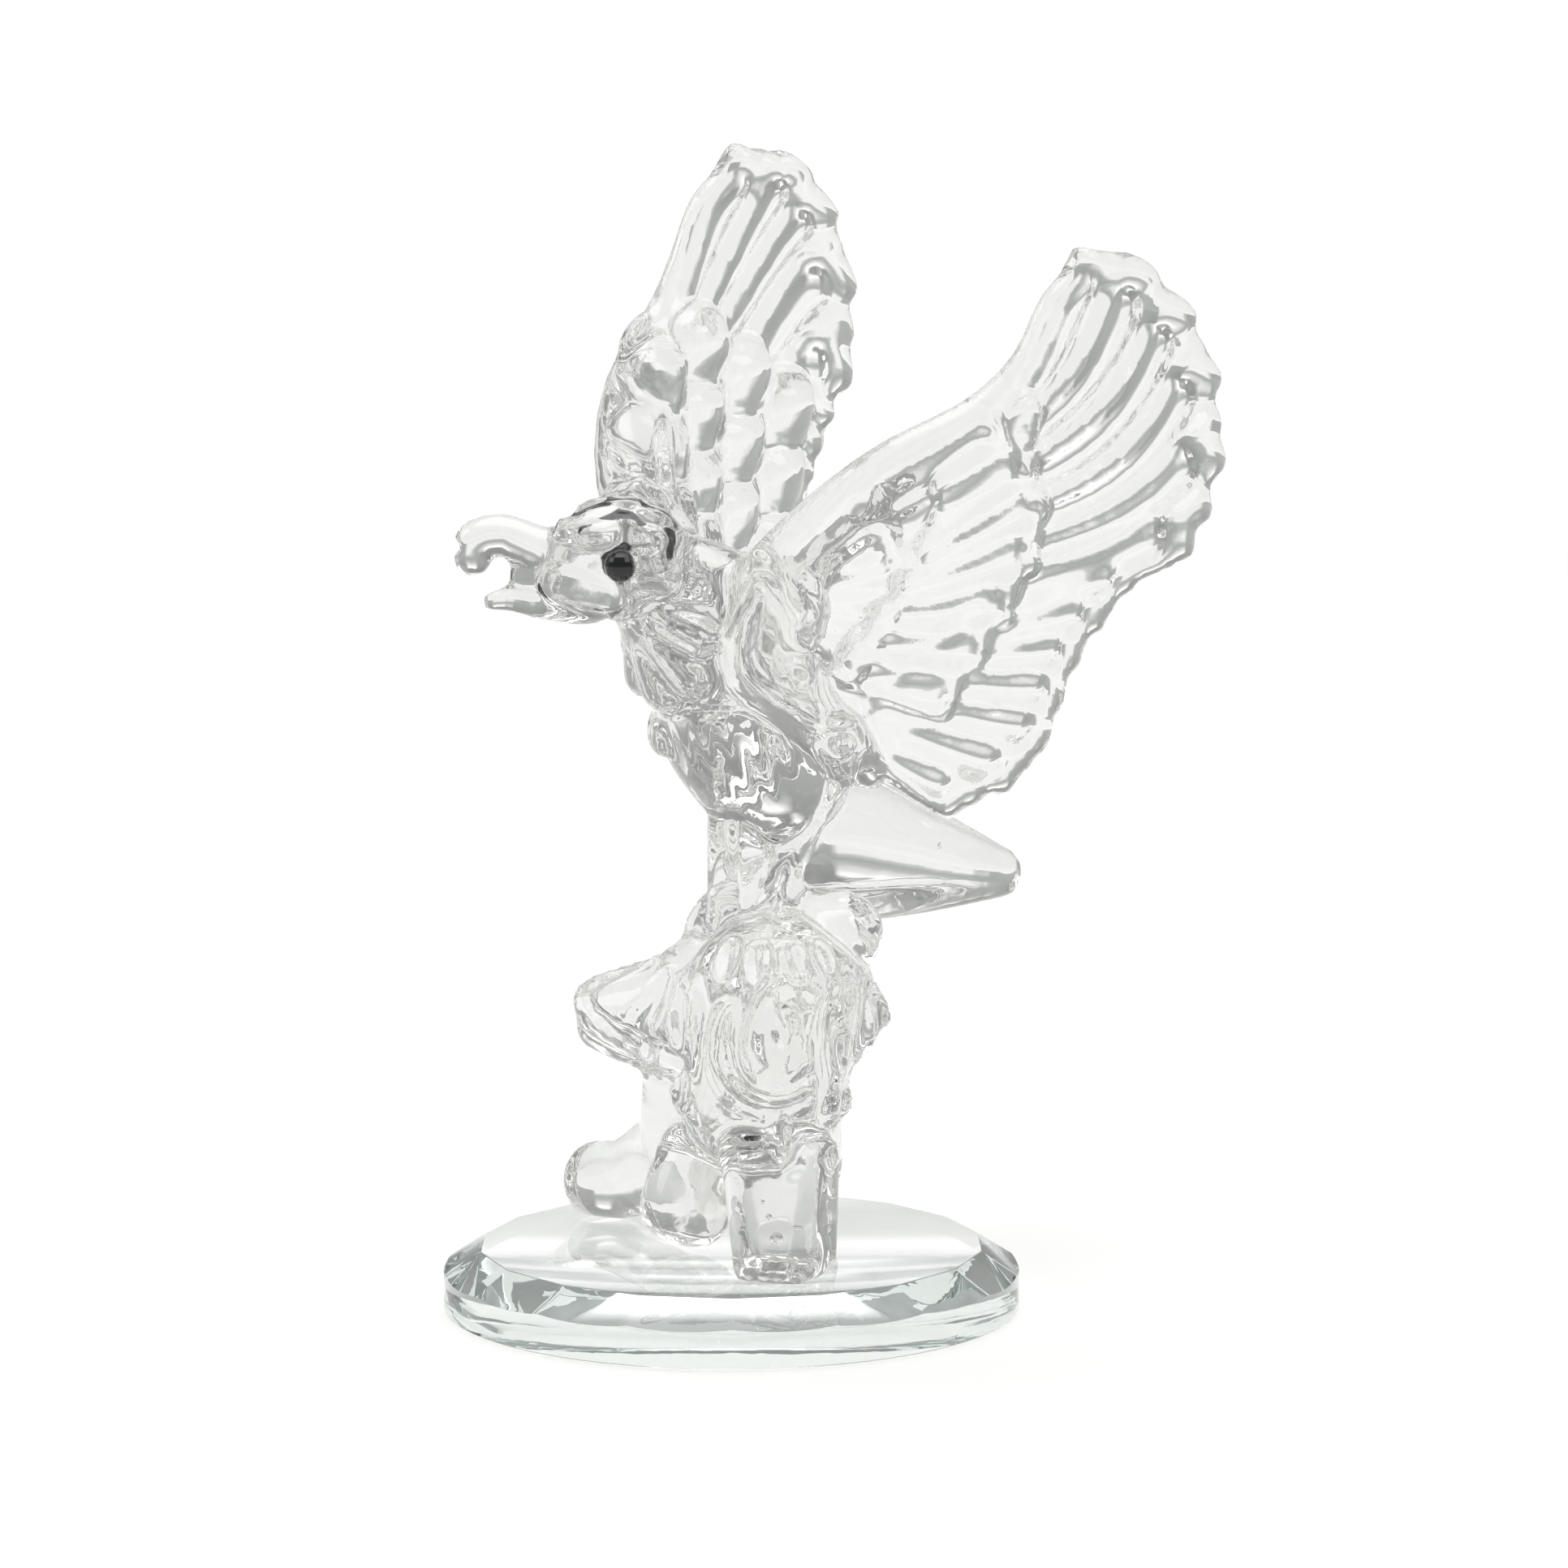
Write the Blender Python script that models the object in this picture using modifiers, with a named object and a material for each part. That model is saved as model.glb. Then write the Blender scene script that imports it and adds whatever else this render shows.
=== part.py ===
"""Crystal eagle figurine: a clear cast eagle that lands on a tree stump, two black eye beads in its head,
and the round bevelled glass plate that the casting is glued to.

Metres, +Z up. The origin is the centre of the plate's underside. The bird's chest faces -Y and its left
wing is at +X. The bird is a free form: its points are written in units of one 112th of its own height, so
one unit is one millimetre at the real size, and their heights are measured from its foot.
"""

import math

import bmesh
import bpy
from mathutils import Matrix, Vector

# Driving sizes of the plate, in metres
BASE_RADIUS = 0.030
BASE_THICKNESS = 0.0064
BASE_WALL_HEIGHT = 0.0040
BASE_TOP_RADIUS = 0.0263
BASE_FACETS = 18
ROUND_BELOW = 8  # degrees: the wall's sides turn less than this from one to the next, the ground facets more

# Driving sizes of the casting and its eyes, in metres
FIGURE_HEIGHT = 0.1120
FIGURE_UNITS = 112
EYE_RADIUS = 0.00165
EYE_SPACING = 0.0094
GLUE_GAP = 0.0003

# Fineness of the casting's faceted solid, in metres
VOXEL = 0.00075
SMOOTH_PASSES = 3
FACE_SHARE = 0.088

UNIT = FIGURE_HEIGHT / FIGURE_UNITS
FOOT_HEIGHT = BASE_THICKNESS + GLUE_GAP

# How round a lobe is: corners around its section, and rings along it
SIDES = 12
RINGS = 12
END_ROUNDNESS = 0.8


def figure(x, y, z):
    """A point of the figure, from its units."""
    return Vector((x, y, z)) * UNIT + Vector((0, 0, FOOT_HEIGHT))


def along(values, t):
    """The value at share t of a smooth line through the values, which are numbers, tuples or vectors."""
    last = len(values) - 1
    place = min(max(t, 0.0), 1.0) * last
    k = min(int(place), last - 1)
    u = place - k
    v = [Vector(values[i]) if isinstance(values[i], (tuple, Vector)) else values[i]
         for i in (max(k - 1, 0), k, k + 1, min(k + 2, last))]
    slope_in = (v[2] - v[0]) * 0.5
    slope_out = (v[3] - v[1]) * 0.5
    cube, square = u ** 3, u ** 2
    return (v[1] * (2 * cube - 3 * square + 1) + slope_in * (cube - 2 * square + u)
            + v[2] * (3 * square - 2 * cube) + slope_out * (cube - square))


class Shape:
    """Closed lobes gathered before they are fused. Each is a copy of one ball, carried along its own spine."""

    def __init__(self, sides=SIDES, rings=RINGS):
        ball_shape = bmesh.new()
        bmesh.ops.create_uvsphere(ball_shape, u_segments=sides, v_segments=rings, radius=1)
        self.ball = [vertex.co.copy() for vertex in ball_shape.verts]
        self.ball_faces = [[vertex.index for vertex in face.verts] for face in ball_shape.faces]
        ball_shape.free()
        self.points = []
        self.faces = []

    def add_lobe(self, spine, half_sizes, top):
        """Adds one closed lobe. spine(t) is its centre line, half_sizes(t) its half width and half thickness
        in metres, and top(t) the direction of its thickness. Its ends are round."""
        steps = [spine(i / 40) for i in range(41)]
        length = sum((b - a).length for a, b in zip(steps, steps[1:]))
        end_round = [min(END_ROUNDNESS * max(half_sizes(end)), 0.45 * length) for end in (0, 1)]
        first = len(self.points)
        sections = {}
        for x, y, z in self.ball:
            ring = round(z, 4)
            if ring not in sections:
                t = min(max(0.5 - 0.5 * ring, 0.0), 1.0)
                to_ends = (t * length / end_round[0], (1 - t) * length / end_round[1])
                fullness = math.prod(math.sqrt(max(0.0, 1 - (1 - min(d, 1.0)) ** 2)) for d in to_ends)
                forward = (spine(min(t + 0.02, 1)) - spine(max(t - 0.02, 0))).normalized()
                across = top(t).cross(forward).normalized()
                half_width, half_thickness = half_sizes(t)
                sections[ring] = (spine(t), across * (half_width * fullness),
                                  forward.cross(across) * (half_thickness * fullness))
            centre, wide, thick = sections[ring]
            reach = max(math.hypot(x, y), 1e-6)
            self.points.append(centre + wide * (x / reach) + thick * (y / reach))
        self.faces.extend([first + i for i in face] for face in self.ball_faces)

    def mesh(self, name):
        mesh = bpy.data.meshes.new(name)
        mesh.from_pydata(self.points, [], self.faces)
        return mesh


def add_limb(shape, points, half_sizes, top=(0, 0, 1)):
    """Adds a lobe that follows figure points. Each half size is a radius or a (width, thickness) pair."""
    centres = [figure(*p) for p in points]
    pairs = [s if isinstance(s, tuple) else (s, s) for s in half_sizes]
    shape.add_lobe(
        lambda t: along(centres, t),
        lambda t: tuple(along(pairs, t) * UNIT),
        lambda t: Vector(top),
    )


def add_body(shape):
    """The trunk of the bird from rump to neck, its thighs, and the feathers that lie down its breast."""
    spine = [(0, 9, 43), (0, 6.4, 47.5), (0, 3.0, 54), (-0.3, -0.6, 61), (-1.5, -5.2, 66.6), (-4, -10.5, 70)]
    girth = [(6.0, 5.5), (8.4, 7.2), (9.8, 8.8), (8.8, 8.2), (6.9, 6.8), (5.6, 5.6)]
    add_limb(shape, spine, girth, top=(0, 1, 0))
    add_limb(shape, [(-3.2, -7.7, 70.2), (0.8, -3.2, 67.4), (3.0, 2.0, 65.0)], [5.2, 5.6, 5.0])
    for side in (-1, 1):
        add_limb(shape, [(4.2 * side, 6, 48), (4.6 * side, 5, 42), (4.2 * side, 4.4, 37)], [4.6, 4.0, 2.6])
    rows = 5
    for row in range(rows):
        down = row / (rows - 1)
        centre = along(spine, 0.92 - 0.62 * down)
        width, depth = along(girth, 0.92 - 0.62 * down)
        size = 1 - 0.3 * down
        across = 5 if row % 2 else 4
        for k in range(across):
            turn = math.radians(27 * (k - (across - 1) / 2))
            out = Vector((math.sin(turn), -math.cos(turn), 0))
            skin = centre + Vector((out.x * width, out.y * depth, -0.25 * depth))
            start = skin + Vector((0, -0.6, 4.2)) * size
            end = skin + out * 0.5 + Vector((0, 2.0, -4.4)) * size
            add_limb(shape, [start, skin + out * 0.5, end], [(1.3, 0.8), (2.3, 1.3), (1.7, 0.9)], top=out)


class Head:
    """The head's own directions: it is turned from the chest's heading towards the right wing."""

    TURN = math.radians(40)
    CENTRE = Vector((-4.8, -11.9, 70.8))

    def __init__(self):
        self.forward = Vector((-math.sin(self.TURN), -math.cos(self.TURN), 0))
        self.left = Vector((math.cos(self.TURN), -math.sin(self.TURN), 0))

    def place(self, forward, left, up):
        return self.CENTRE + self.forward * forward + self.left * left + Vector((0, 0, up))

    def add(self, shape, points, half_sizes):
        add_limb(shape, [self.place(*p) for p in points], half_sizes, top=(0, 0, 1))


def add_head(shape):
    """The skull, brows, cheeks, hooked upper beak and open lower beak."""
    head = Head()
    head.add(shape, [(-7, 0, -1.5), (-2.5, 0, 0.3), (2.5, 0, 0.5), (6.5, 0, 0.4)], [5.2, (5.6, 6.0), (4.9, 5.4), 3.0])
    head.add(shape, [(4, 0, 0.6), (7.5, 0, 1.8), (11.2, 0, 3.2), (14.1, 0, 2.2), (13.6, 0, -0.9)],
             [(3.0, 3.0), (2.6, 2.4), (2.3, 2.2), (2.1, 2.1), (1.7, 1.7)])
    head.add(shape, [(2, 0, -1.6), (6, 0, -1.2), (10.3, 0, -0.6)], [3.0, 2.2, 1.3])
    head.add(shape, [(0, 0, -3.6), (6, 0, -3.9), (10, 0, -3.4), (13.0, 0, -3.7)],
             [(4.0, 2.9), (2.7, 1.8), (1.7, 1.3), (1.2, 0.9)])
    for side in (-1, 1):
        head.add(shape, [(5.6, 2.2 * side, 3.7), (1.5, 4.0 * side, 3.6), (-3.5, 4.3 * side, 2.6)], [1.3, 1.5, 1.2])
        head.add(shape, [(6.5, 2.0 * side, -1.2), (3.4, 3.6 * side, -1.4), (-1.0, 4.2 * side, -3.2)], [1.5, 1.8, 1.5])


class Wing:
    """A wing drawn flat, out from its root and up, and rolled along a plan curve that leans back."""

    def __init__(self, side, root, plan, lean, roll, arm, tips):
        self.root = figure(*root)
        self.arm = arm
        self.tips = [Vector(tip) for tip in tips]
        turn = Matrix.Rotation(math.radians(roll), 3, "Y")
        lean = math.radians(lean)
        self.sideways = turn @ Vector((side, 0, 0))
        self.backward = turn @ Vector((0, math.cos(lean), math.sin(lean)))
        self.upward = turn @ Vector((0, -math.sin(lean), math.cos(lean)))
        middle, end = (Vector(p) for p in plan)
        shares = [i / 60 for i in range(61)]
        self.line = [middle * (2 * s * (1 - s)) + end * (s * s) for s in shares]
        self.lengths = [0.0]
        for a, b in zip(self.line, self.line[1:]):
            self.lengths.append(self.lengths[-1] + (b - a).length)

    def on_plan(self, out):
        """The plan point and its direction at a distance out from the root, straight on past the ends."""
        k = 0
        while k < len(self.line) - 2 and self.lengths[k + 1] < out:
            k += 1
        direction = (self.line[k + 1] - self.line[k]).normalized()
        return self.line[k] + direction * (out - self.lengths[k]), direction

    def point(self, out, up, proud=0.0):
        """A place of the flat pattern, in metres. Proud is its distance from the blade to the outer face."""
        plan, direction = self.on_plan(out)
        plan = plan + Vector((direction.y, -direction.x)) * proud
        return self.root + (self.sideways * plan.x + self.backward * plan.y + self.upward * up) * UNIT

    def normal(self, out):
        direction = self.on_plan(out)[1]
        return self.sideways * direction.y - self.backward * direction.x

    def add_feather(self, shape, start, end, half_sizes, proud=0.0, bend=0.0, tilt=0.0):
        """Adds a feather from its root to its tip, bowed to one side, and tipped so that it laps the next."""
        start, end = Vector(start), Vector(end)
        run = end - start
        middle = (start + end) / 2 + Vector((run.y, -run.x)).normalized() * bend
        spine = [start, middle, end]
        pairs = [s if isinstance(s, tuple) else (s, s) for s in half_sizes]
        prouds = proud if isinstance(proud, tuple) else (proud, proud)

        def centre(t):
            out, up = along(spine, t)
            return self.point(out, up, prouds[0] + (prouds[1] - prouds[0]) * t)

        def top(t):
            forward = centre(min(t + 0.02, 1)) - centre(max(t - 0.02, 0))
            return Matrix.Rotation(math.radians(tilt), 3, forward) @ self.normal(along(spine, t)[0])

        shape.add_lobe(centre, lambda t: tuple(along(pairs, t) * UNIT), top)


def add_wing(shape, wing, laps):
    """The arm along the leading edge, the long flight feathers, the coverts and the inner scales."""
    girth = [(4.4, 3.2), (4.0, 3.0), (3.5, 2.6), (3.1, 2.3), (2.4, 1.8), (1.6, 1.4), (1.2, 1.1)]
    for k in range(len(wing.arm) - 2):
        wing.add_feather(shape, wing.arm[k], wing.arm[k + 2], girth[k:k + 3])

    roots = [Vector(p) for p in ((27, 35.3), (26.5, 31.5), (23, 26), (16, 21), (10, 18), (5, 15), (0, 12))]
    flight_feathers = 13
    for k in range(flight_feathers):
        t = k / (flight_feathers - 1)
        bend = -0.5 if k == 0 else 1.8 * (1 - t)
        wing.add_feather(shape, along(roots, t), along(wing.tips, t), [(2.4, 1.5), (3.5, 1.5), (3.3, 1.1)],
                         bend=bend, tilt=14 * laps)

    tips = [Vector(p) for p in ((31.8, 34.5), (29.8, 28), (24.5, 21), (16.8, 14.6), (9, 8.5), (2, 6))]
    roots = [Vector(p) for p in ((14, 34), (12.5, 28), (10, 22.5), (6.5, 18), (2.5, 15), (-2, 14))]
    greater_coverts = 9
    for k in range(greater_coverts):
        t = k / (greater_coverts - 1)
        wing.add_feather(shape, along(roots, t), along(tips, t), [(1.8, 1.6), (2.6, 1.7), (2.6, 1.3)],
                         proud=(1.8, 1.3), bend=1.0 * (1 - t), tilt=12 * laps)

    tips = [Vector(p) for p in ((12.6, 30), (13.4, 23.5), (10.2, 18.6), (4.5, 16.6))]
    roots = [Vector(p) for p in ((2.5, 29), (2.5, 26), (0.5, 23.5), (-1.5, 22))]
    lesser_coverts = 5
    for k in range(lesser_coverts):
        t = k / (lesser_coverts - 1)
        wing.add_feather(shape, along(roots, t), along(tips, t), [(1.4, 1.6), (2.3, 1.9), (2.3, 1.5)],
                         proud=(2.4, 2.6), tilt=10 * laps)

    for k in range(4):
        wing.add_feather(shape, (-4.5 + 2.5 * k, 17 - 1.5 * k), (-4.5 + 3.0 * k, 5 - 0.6 * k),
                         [(2.0, 2.2), (2.4, 2.2), (1.8, 1.5)], proud=(1.8, 1.0))

    scale_rows = 6
    for row in range(scale_rows):
        up = 4.5 + 5.8 * row
        for k in range(6):
            out = 1.5 + 6.4 * k + (3.2 if row % 2 else 0)
            inside = up + 3 < min(19 + 0.8 * out, 33) and out < 34 - 0.5 * abs(up - 22)
            if inside:
                wing.add_feather(shape, (out - 2.2, up - 4.8), (out + 2.6, up + 4.0),
                                 [(2.6, 1.4), (3.8, 1.9), (3.5, 1.6)], proud=(-1.0, -2.0))


def add_wings(shape):
    """Both wings are raised. The right one, on the far side of the turned head, stands higher."""
    left = Wing(
        1, (7.0, 9.9, 44.3), ((21, 14.5), (21, 42.5)), 25, 0,
        arm=[(-4, 18), (-0.4, 25.8), (8, 31.8), (17.2, 34.8), (28, 34.8), (36.9, 38.2), (43.8, 44.0)],
        tips=[(46.6, 45.4), (53.4, 38.9), (54.6, 26.8), (45.6, 17.4), (31.2, 12.6), (19.8, -1.2), (6.5, -1.6)],
    )
    right = Wing(
        -1, (-7.4, 6.9, 51.5), ((21.5, 5.5), (17, 39)), 28, 6,
        arm=[(-2.4, 14.4), (3, 21), (10.8, 26.8), (19.4, 31.2), (30.4, 32), (39.2, 37.2), (46, 43.8)],
        tips=[(49.4, 46.2), (54.4, 38.6), (52.6, 27.4), (47.6, 18.0), (40.4, 10.4), (34.0, 2.4), (15, -1.5)],
    )
    add_wing(shape, left, laps=1)
    add_wing(shape, right, laps=-1)


def add_tail(shape):
    """The tail runs straight back as a deep wedge with a rim along its lower edges and ridged feathers on top."""
    add_limb(shape, [(0, 5, 43), (0, 15, 41.2), (0, 24, 38.8), (0, 33, 36.5), (0, 39.5, 35.0)],
             [(6.0, 7.5), (6.2, 6.9), (5.6, 5.0), (4.4, 3.2), (2.6, 1.9)])
    for side in (-1, 1):
        add_limb(shape, [(4.4 * side, 5, 34.6), (4.2 * side, 21, 34.3), (1.5 * side, 38, 34.3)], [1.7, 1.7, 1.5])
        add_limb(shape, [(3.0 * side, 8, 47), (3.2 * side, 22, 42.3), (1.5 * side, 38, 36.3)],
                 [(1.6, 1.2), (1.9, 1.4), (1.4, 1.0)])
    add_limb(shape, [(0, 8, 49), (0, 22, 44.5), (0, 39.5, 36.2)], [(1.7, 1.2), (2.1, 1.4), (1.6, 1.1)])


def add_claws(shape):
    """Each foot grips the stump with three toes in front and one behind."""
    for side in (-1, 1):
        ankle = Vector((4.2 * side, 4.4, 35.5))
        add_limb(shape, [ankle + Vector((0, 0, 5)), ankle, ankle - Vector((0, 0, 4))], [2.6, 2.4, 2.6])
        for heading in (-34, 0, 34, 180):
            turn = math.radians(heading)
            out = Vector((math.sin(turn), -math.cos(turn), 0))
            add_limb(shape, [ankle, ankle + out * 2.3 - Vector((0, 0, 1.2)), ankle + out * 4.2 - Vector((0, 0, 3.6)),
                             ankle + out * 5.0 - Vector((0, 0, 6.0))], [1.6, 1.8, 1.5, 0.9])


def add_stump(shape):
    """The tree stump: two columns, a cut branch, a knot with its swirl, bark ridges and four splayed roots."""
    limbs = [
        ([(2.5, 3.5, 33.5), (5, 1, 24), (6.0, -1, 15), (9, -5, 8), (12, -7, 2)], [8.8, 9.8, 8.4, 7.4, 7.6]),
        ([(13.5, -7, 8), (15.6, -6.4, 4.0), (16.4, -6.2, -1)], [(7.6, 6.8), (8.2, 7.8), (8.2, 8.0)]),
        ([(-3.8, 1, 30.6), (-5, 1, 23), (-6.5, 0, 15), (-8, 1, 8)], [7.7, 6.2, 5.2, 5.4]),
        ([(-8, 0, 9), (-15, -1, 4.6), (-23.2, -1.5, 3.0)], [5.0, 4.4, (4.2, 4.3)]),
        ([(-2, -1, 12), (-2.5, -4, 7), (-3.2, -7, 1)], [5.0, 4.8, 4.8]),
        ([(1, 6, 24), (-1, 9, 13), (-4, 13, 3)], [7.0, 5.4, 4.6]),
        ([(-2, 0, 24), (-9.0, -4, 22.4), (-14.4, -8.7, 22.6)], [6.0, 4.9, 3.8]),
        ([(6, 6, 31), (9, 8, 33.0), (8, 13, 34)], [6.5, 5.0, 3.6]),
        ([(9, 2, 27), (11, 4, 24), (10, 3, 20)], [4.6, 5.4, 4.6]),
    ]
    for points, radii in limbs:
        add_limb(shape, points, radii, top=(0.3, 1, 0))

    knot = Vector((10.6, -7.2, 20.5))
    towards = Vector((0.766, -0.643, 0))
    sideways = Vector((0.643, 0.766, 0))
    add_limb(shape, [knot - towards * 6, knot + towards * 1.2], [6.2, 5.2])
    for radius, start, sweep in ((5.4, 150, 230), (3.0, -30, 260)):
        arc = []
        for k in range(6):
            turn = math.radians(start + sweep * k / 5)
            arc.append(knot + towards * 1.4 + (sideways * math.cos(turn) + Vector((0, 0, math.sin(turn)))) * radius)
        add_limb(shape, arc, [0.9, 1.2, 1.3, 1.3, 1.2, 0.8], top=towards)

    lumps = 6
    for k in range(lumps):
        turn = math.radians(215 + 36 * k)
        centre = Vector((1.5 + 6.6 * math.cos(turn), 3 + 5.4 * math.sin(turn), 29.5 - 1.6 * (k % 2)))
        add_limb(shape, [centre - Vector((0, 0, 1.6)), centre + Vector((0, 0, 1.6))], [2.9, 2.7])

    ridges = 11
    for k in range(ridges):
        turn = math.radians(360 * k / ridges + 12)
        out = Vector((math.cos(turn), math.sin(turn), 0))
        path = [Vector((4, 3, 29)) + out * 8.6, Vector((4.5, 1, 20)) + out * 9.2, Vector((5.5, -1, 10)) + out * 8.4]
        add_limb(shape, path, [(1.0, 0.8), (1.6, 1.3), (1.1, 0.9)], top=out)


def add_cutter(name, mesh, collection):
    """A shape that only cuts: it is not part of the object."""
    cutter = bpy.data.objects.new(name, mesh)
    collection.objects.link(cutter)
    cutter.hide_render = True
    cutter.display_type = "WIRE"
    return cutter


def eye_centre(side):
    head = Head()
    centre = figure(*head.place(-1.1, 0, 0.4))
    return centre + head.left * (side * EYE_SPACING / 2)


def ball(radius, centre, sides, rings):
    """The mesh of a ball."""
    mesh = bpy.data.meshes.new("ball")
    draft = bmesh.new()
    bmesh.ops.create_uvsphere(draft, u_segments=sides, v_segments=rings, radius=radius,
                              matrix=Matrix.Translation(centre))
    draft.to_mesh(mesh)
    draft.free()
    return mesh


def slab_below(height, width, depth):
    """The mesh of a square block whose top lies at the height."""
    mesh = bpy.data.meshes.new("slab")
    draft = bmesh.new()
    bmesh.ops.create_cube(draft, size=1, matrix=Matrix.Translation((0, 0, height - depth / 2))
                          @ Matrix.Diagonal((width, width, depth, 1)))
    draft.to_mesh(mesh)
    draft.free()
    return mesh


def make_material(name, colour, roughness, transmission=0.0):
    material = bpy.data.materials.new(name)
    material.use_nodes = True
    shader = material.node_tree.nodes["Principled BSDF"]
    shader.inputs["Base Color"].default_value = (*colour, 1)
    shader.inputs["Roughness"].default_value = roughness
    shader.inputs["Metallic"].default_value = 0.0
    shader.inputs["Transmission Weight"].default_value = transmission
    return material


def make_casting(parts, cutters):
    """The eagle and its stump are one casting, cut flat below where it is glued and hollowed for the eyes."""
    shape = Shape()
    for add in (add_body, add_head, add_wings, add_tail, add_claws, add_stump):
        add(shape)
    casting = bpy.data.objects.new("eagle_casting", shape.mesh("eagle_casting"))
    parts.objects.link(casting)
    fuse = casting.modifiers.new("Fuse", "REMESH")
    fuse.mode = "VOXEL"
    fuse.voxel_size = VOXEL
    fuse.use_smooth_shade = True
    smooth = casting.modifiers.new("Smooth", "SMOOTH")
    smooth.factor = 0.5
    smooth.iterations = SMOOTH_PASSES
    thin = casting.modifiers.new("Thin", "DECIMATE")
    thin.ratio = FACE_SHARE

    below_foot = slab_below(FOOT_HEIGHT, width=FIGURE_HEIGHT, depth=FIGURE_HEIGHT / 4)
    tools = [add_cutter("foot_cutter", below_foot, cutters)]
    for side, name in ((1, "left_socket_cutter"), (-1, "right_socket_cutter")):
        socket = ball(EYE_RADIUS + GLUE_GAP, eye_centre(side), sides=20, rings=12)
        tools.append(add_cutter(name, socket, cutters))
    for tool in tools:
        cut = casting.modifiers.new(tool.name, "BOOLEAN")
        cut.operation = "DIFFERENCE"
        cut.object = tool
        cut.solver = "EXACT"
    casting.data.materials.append(make_material("cast_crystal", (0.95, 0.97, 0.96), 0.03, transmission=1.0))


def make_eyes(parts):
    """Two glossy black beads, each in a round socket of the head."""
    black = make_material("black_glass", (0.004, 0.004, 0.005), 0.06)
    for side, name in ((1, "left_eye"), (-1, "right_eye")):
        mesh = ball(EYE_RADIUS, eye_centre(side), sides=16, rings=10)
        mesh.materials.append(black)
        mesh.shade_smooth()
        parts.objects.link(bpy.data.objects.new(name, mesh))


def make_base(parts):
    """The round plate: a plain wall below, and flat facets ground around its upper edge."""
    bevel_drop = BASE_THICKNESS - BASE_WALL_HEIGHT
    wall_sides = BASE_FACETS * 4
    mesh = bpy.data.meshes.new("glass_base")
    draft = bmesh.new()
    bmesh.ops.create_cone(draft, segments=wall_sides, radius1=BASE_RADIUS, radius2=BASE_RADIUS,
                          depth=BASE_THICKNESS, cap_ends=True,
                          matrix=Matrix.Translation((0, 0, BASE_THICKNESS / 2)))
    half_facet = math.pi / BASE_FACETS
    apothem = BASE_TOP_RADIUS * math.cos(half_facet)
    for k in range(BASE_FACETS):
        turn = -math.pi / 2 + 2 * half_facet * k
        out = Vector((math.cos(turn), math.sin(turn), 0))
        slope = Vector((out.x * bevel_drop, out.y * bevel_drop, BASE_RADIUS - BASE_TOP_RADIUS)).normalized()
        edge = out * apothem + Vector((0, 0, BASE_THICKNESS))
        geometry = draft.verts[:] + draft.edges[:] + draft.faces[:]
        cut = bmesh.ops.bisect_plane(draft, geom=geometry, plane_co=edge, plane_no=slope, clear_outer=True)
        rim = [e for e in cut["geom_cut"] if isinstance(e, bmesh.types.BMEdge)]
        bmesh.ops.contextual_create(draft, geom=rim)
    draft.to_mesh(mesh)
    draft.free()
    mesh.shade_smooth()
    mesh.set_sharp_from_angle(angle=math.radians(ROUND_BELOW))
    mesh.materials.append(make_material("base_glass", (0.86, 0.93, 0.91), 0.02, transmission=1.0))
    parts.objects.link(bpy.data.objects.new("glass_base", mesh))


def build():
    for leftover in list(bpy.data.objects):
        bpy.data.objects.remove(leftover)
    parts = bpy.data.collections.new("crystal_eagle_figurine")
    cutters = bpy.data.collections.new("cutters")
    for collection in (parts, cutters):
        bpy.context.scene.collection.children.link(collection)
    make_base(parts)
    make_casting(parts, cutters)
    make_eyes(parts)


build()
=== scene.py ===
"""Crystal eagle figurine: a clear cast eagle landing on a stump, glued to a round bevelled glass plate."""

import math

import bmesh
import bpy
from mathutils import Matrix, Vector
from mathutils.bvhtree import BVHTree


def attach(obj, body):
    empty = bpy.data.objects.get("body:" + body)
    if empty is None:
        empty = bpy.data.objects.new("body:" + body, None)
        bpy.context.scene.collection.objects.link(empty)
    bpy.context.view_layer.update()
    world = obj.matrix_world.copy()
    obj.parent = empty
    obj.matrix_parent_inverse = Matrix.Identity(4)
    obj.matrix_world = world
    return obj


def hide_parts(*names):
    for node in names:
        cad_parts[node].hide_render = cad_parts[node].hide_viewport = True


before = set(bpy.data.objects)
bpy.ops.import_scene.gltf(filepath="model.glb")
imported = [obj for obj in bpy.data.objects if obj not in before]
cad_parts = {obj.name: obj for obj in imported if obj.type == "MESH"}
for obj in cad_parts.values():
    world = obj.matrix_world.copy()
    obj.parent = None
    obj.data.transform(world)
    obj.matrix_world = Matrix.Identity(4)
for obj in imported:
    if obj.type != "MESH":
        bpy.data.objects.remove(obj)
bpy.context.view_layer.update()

# The photograph's camera
# A long lens on a tripod, a little above the figurine and in front of its left wing. The photograph is
# square, and the lens is given as a focal length in pixels of its 1932 pixel side.
PHOTO_SIDE = 1932
FOCAL_PIXELS = 6452
SENSOR_MM = 36
CAMERA_DISTANCE = 0.550
CAMERA_HEADING = math.radians(50)
CAMERA_ELEVATION = math.radians(12.828)
CAMERA_PITCH = math.radians(7.176)
CAMERA_YAW = math.radians(0.586)

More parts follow.
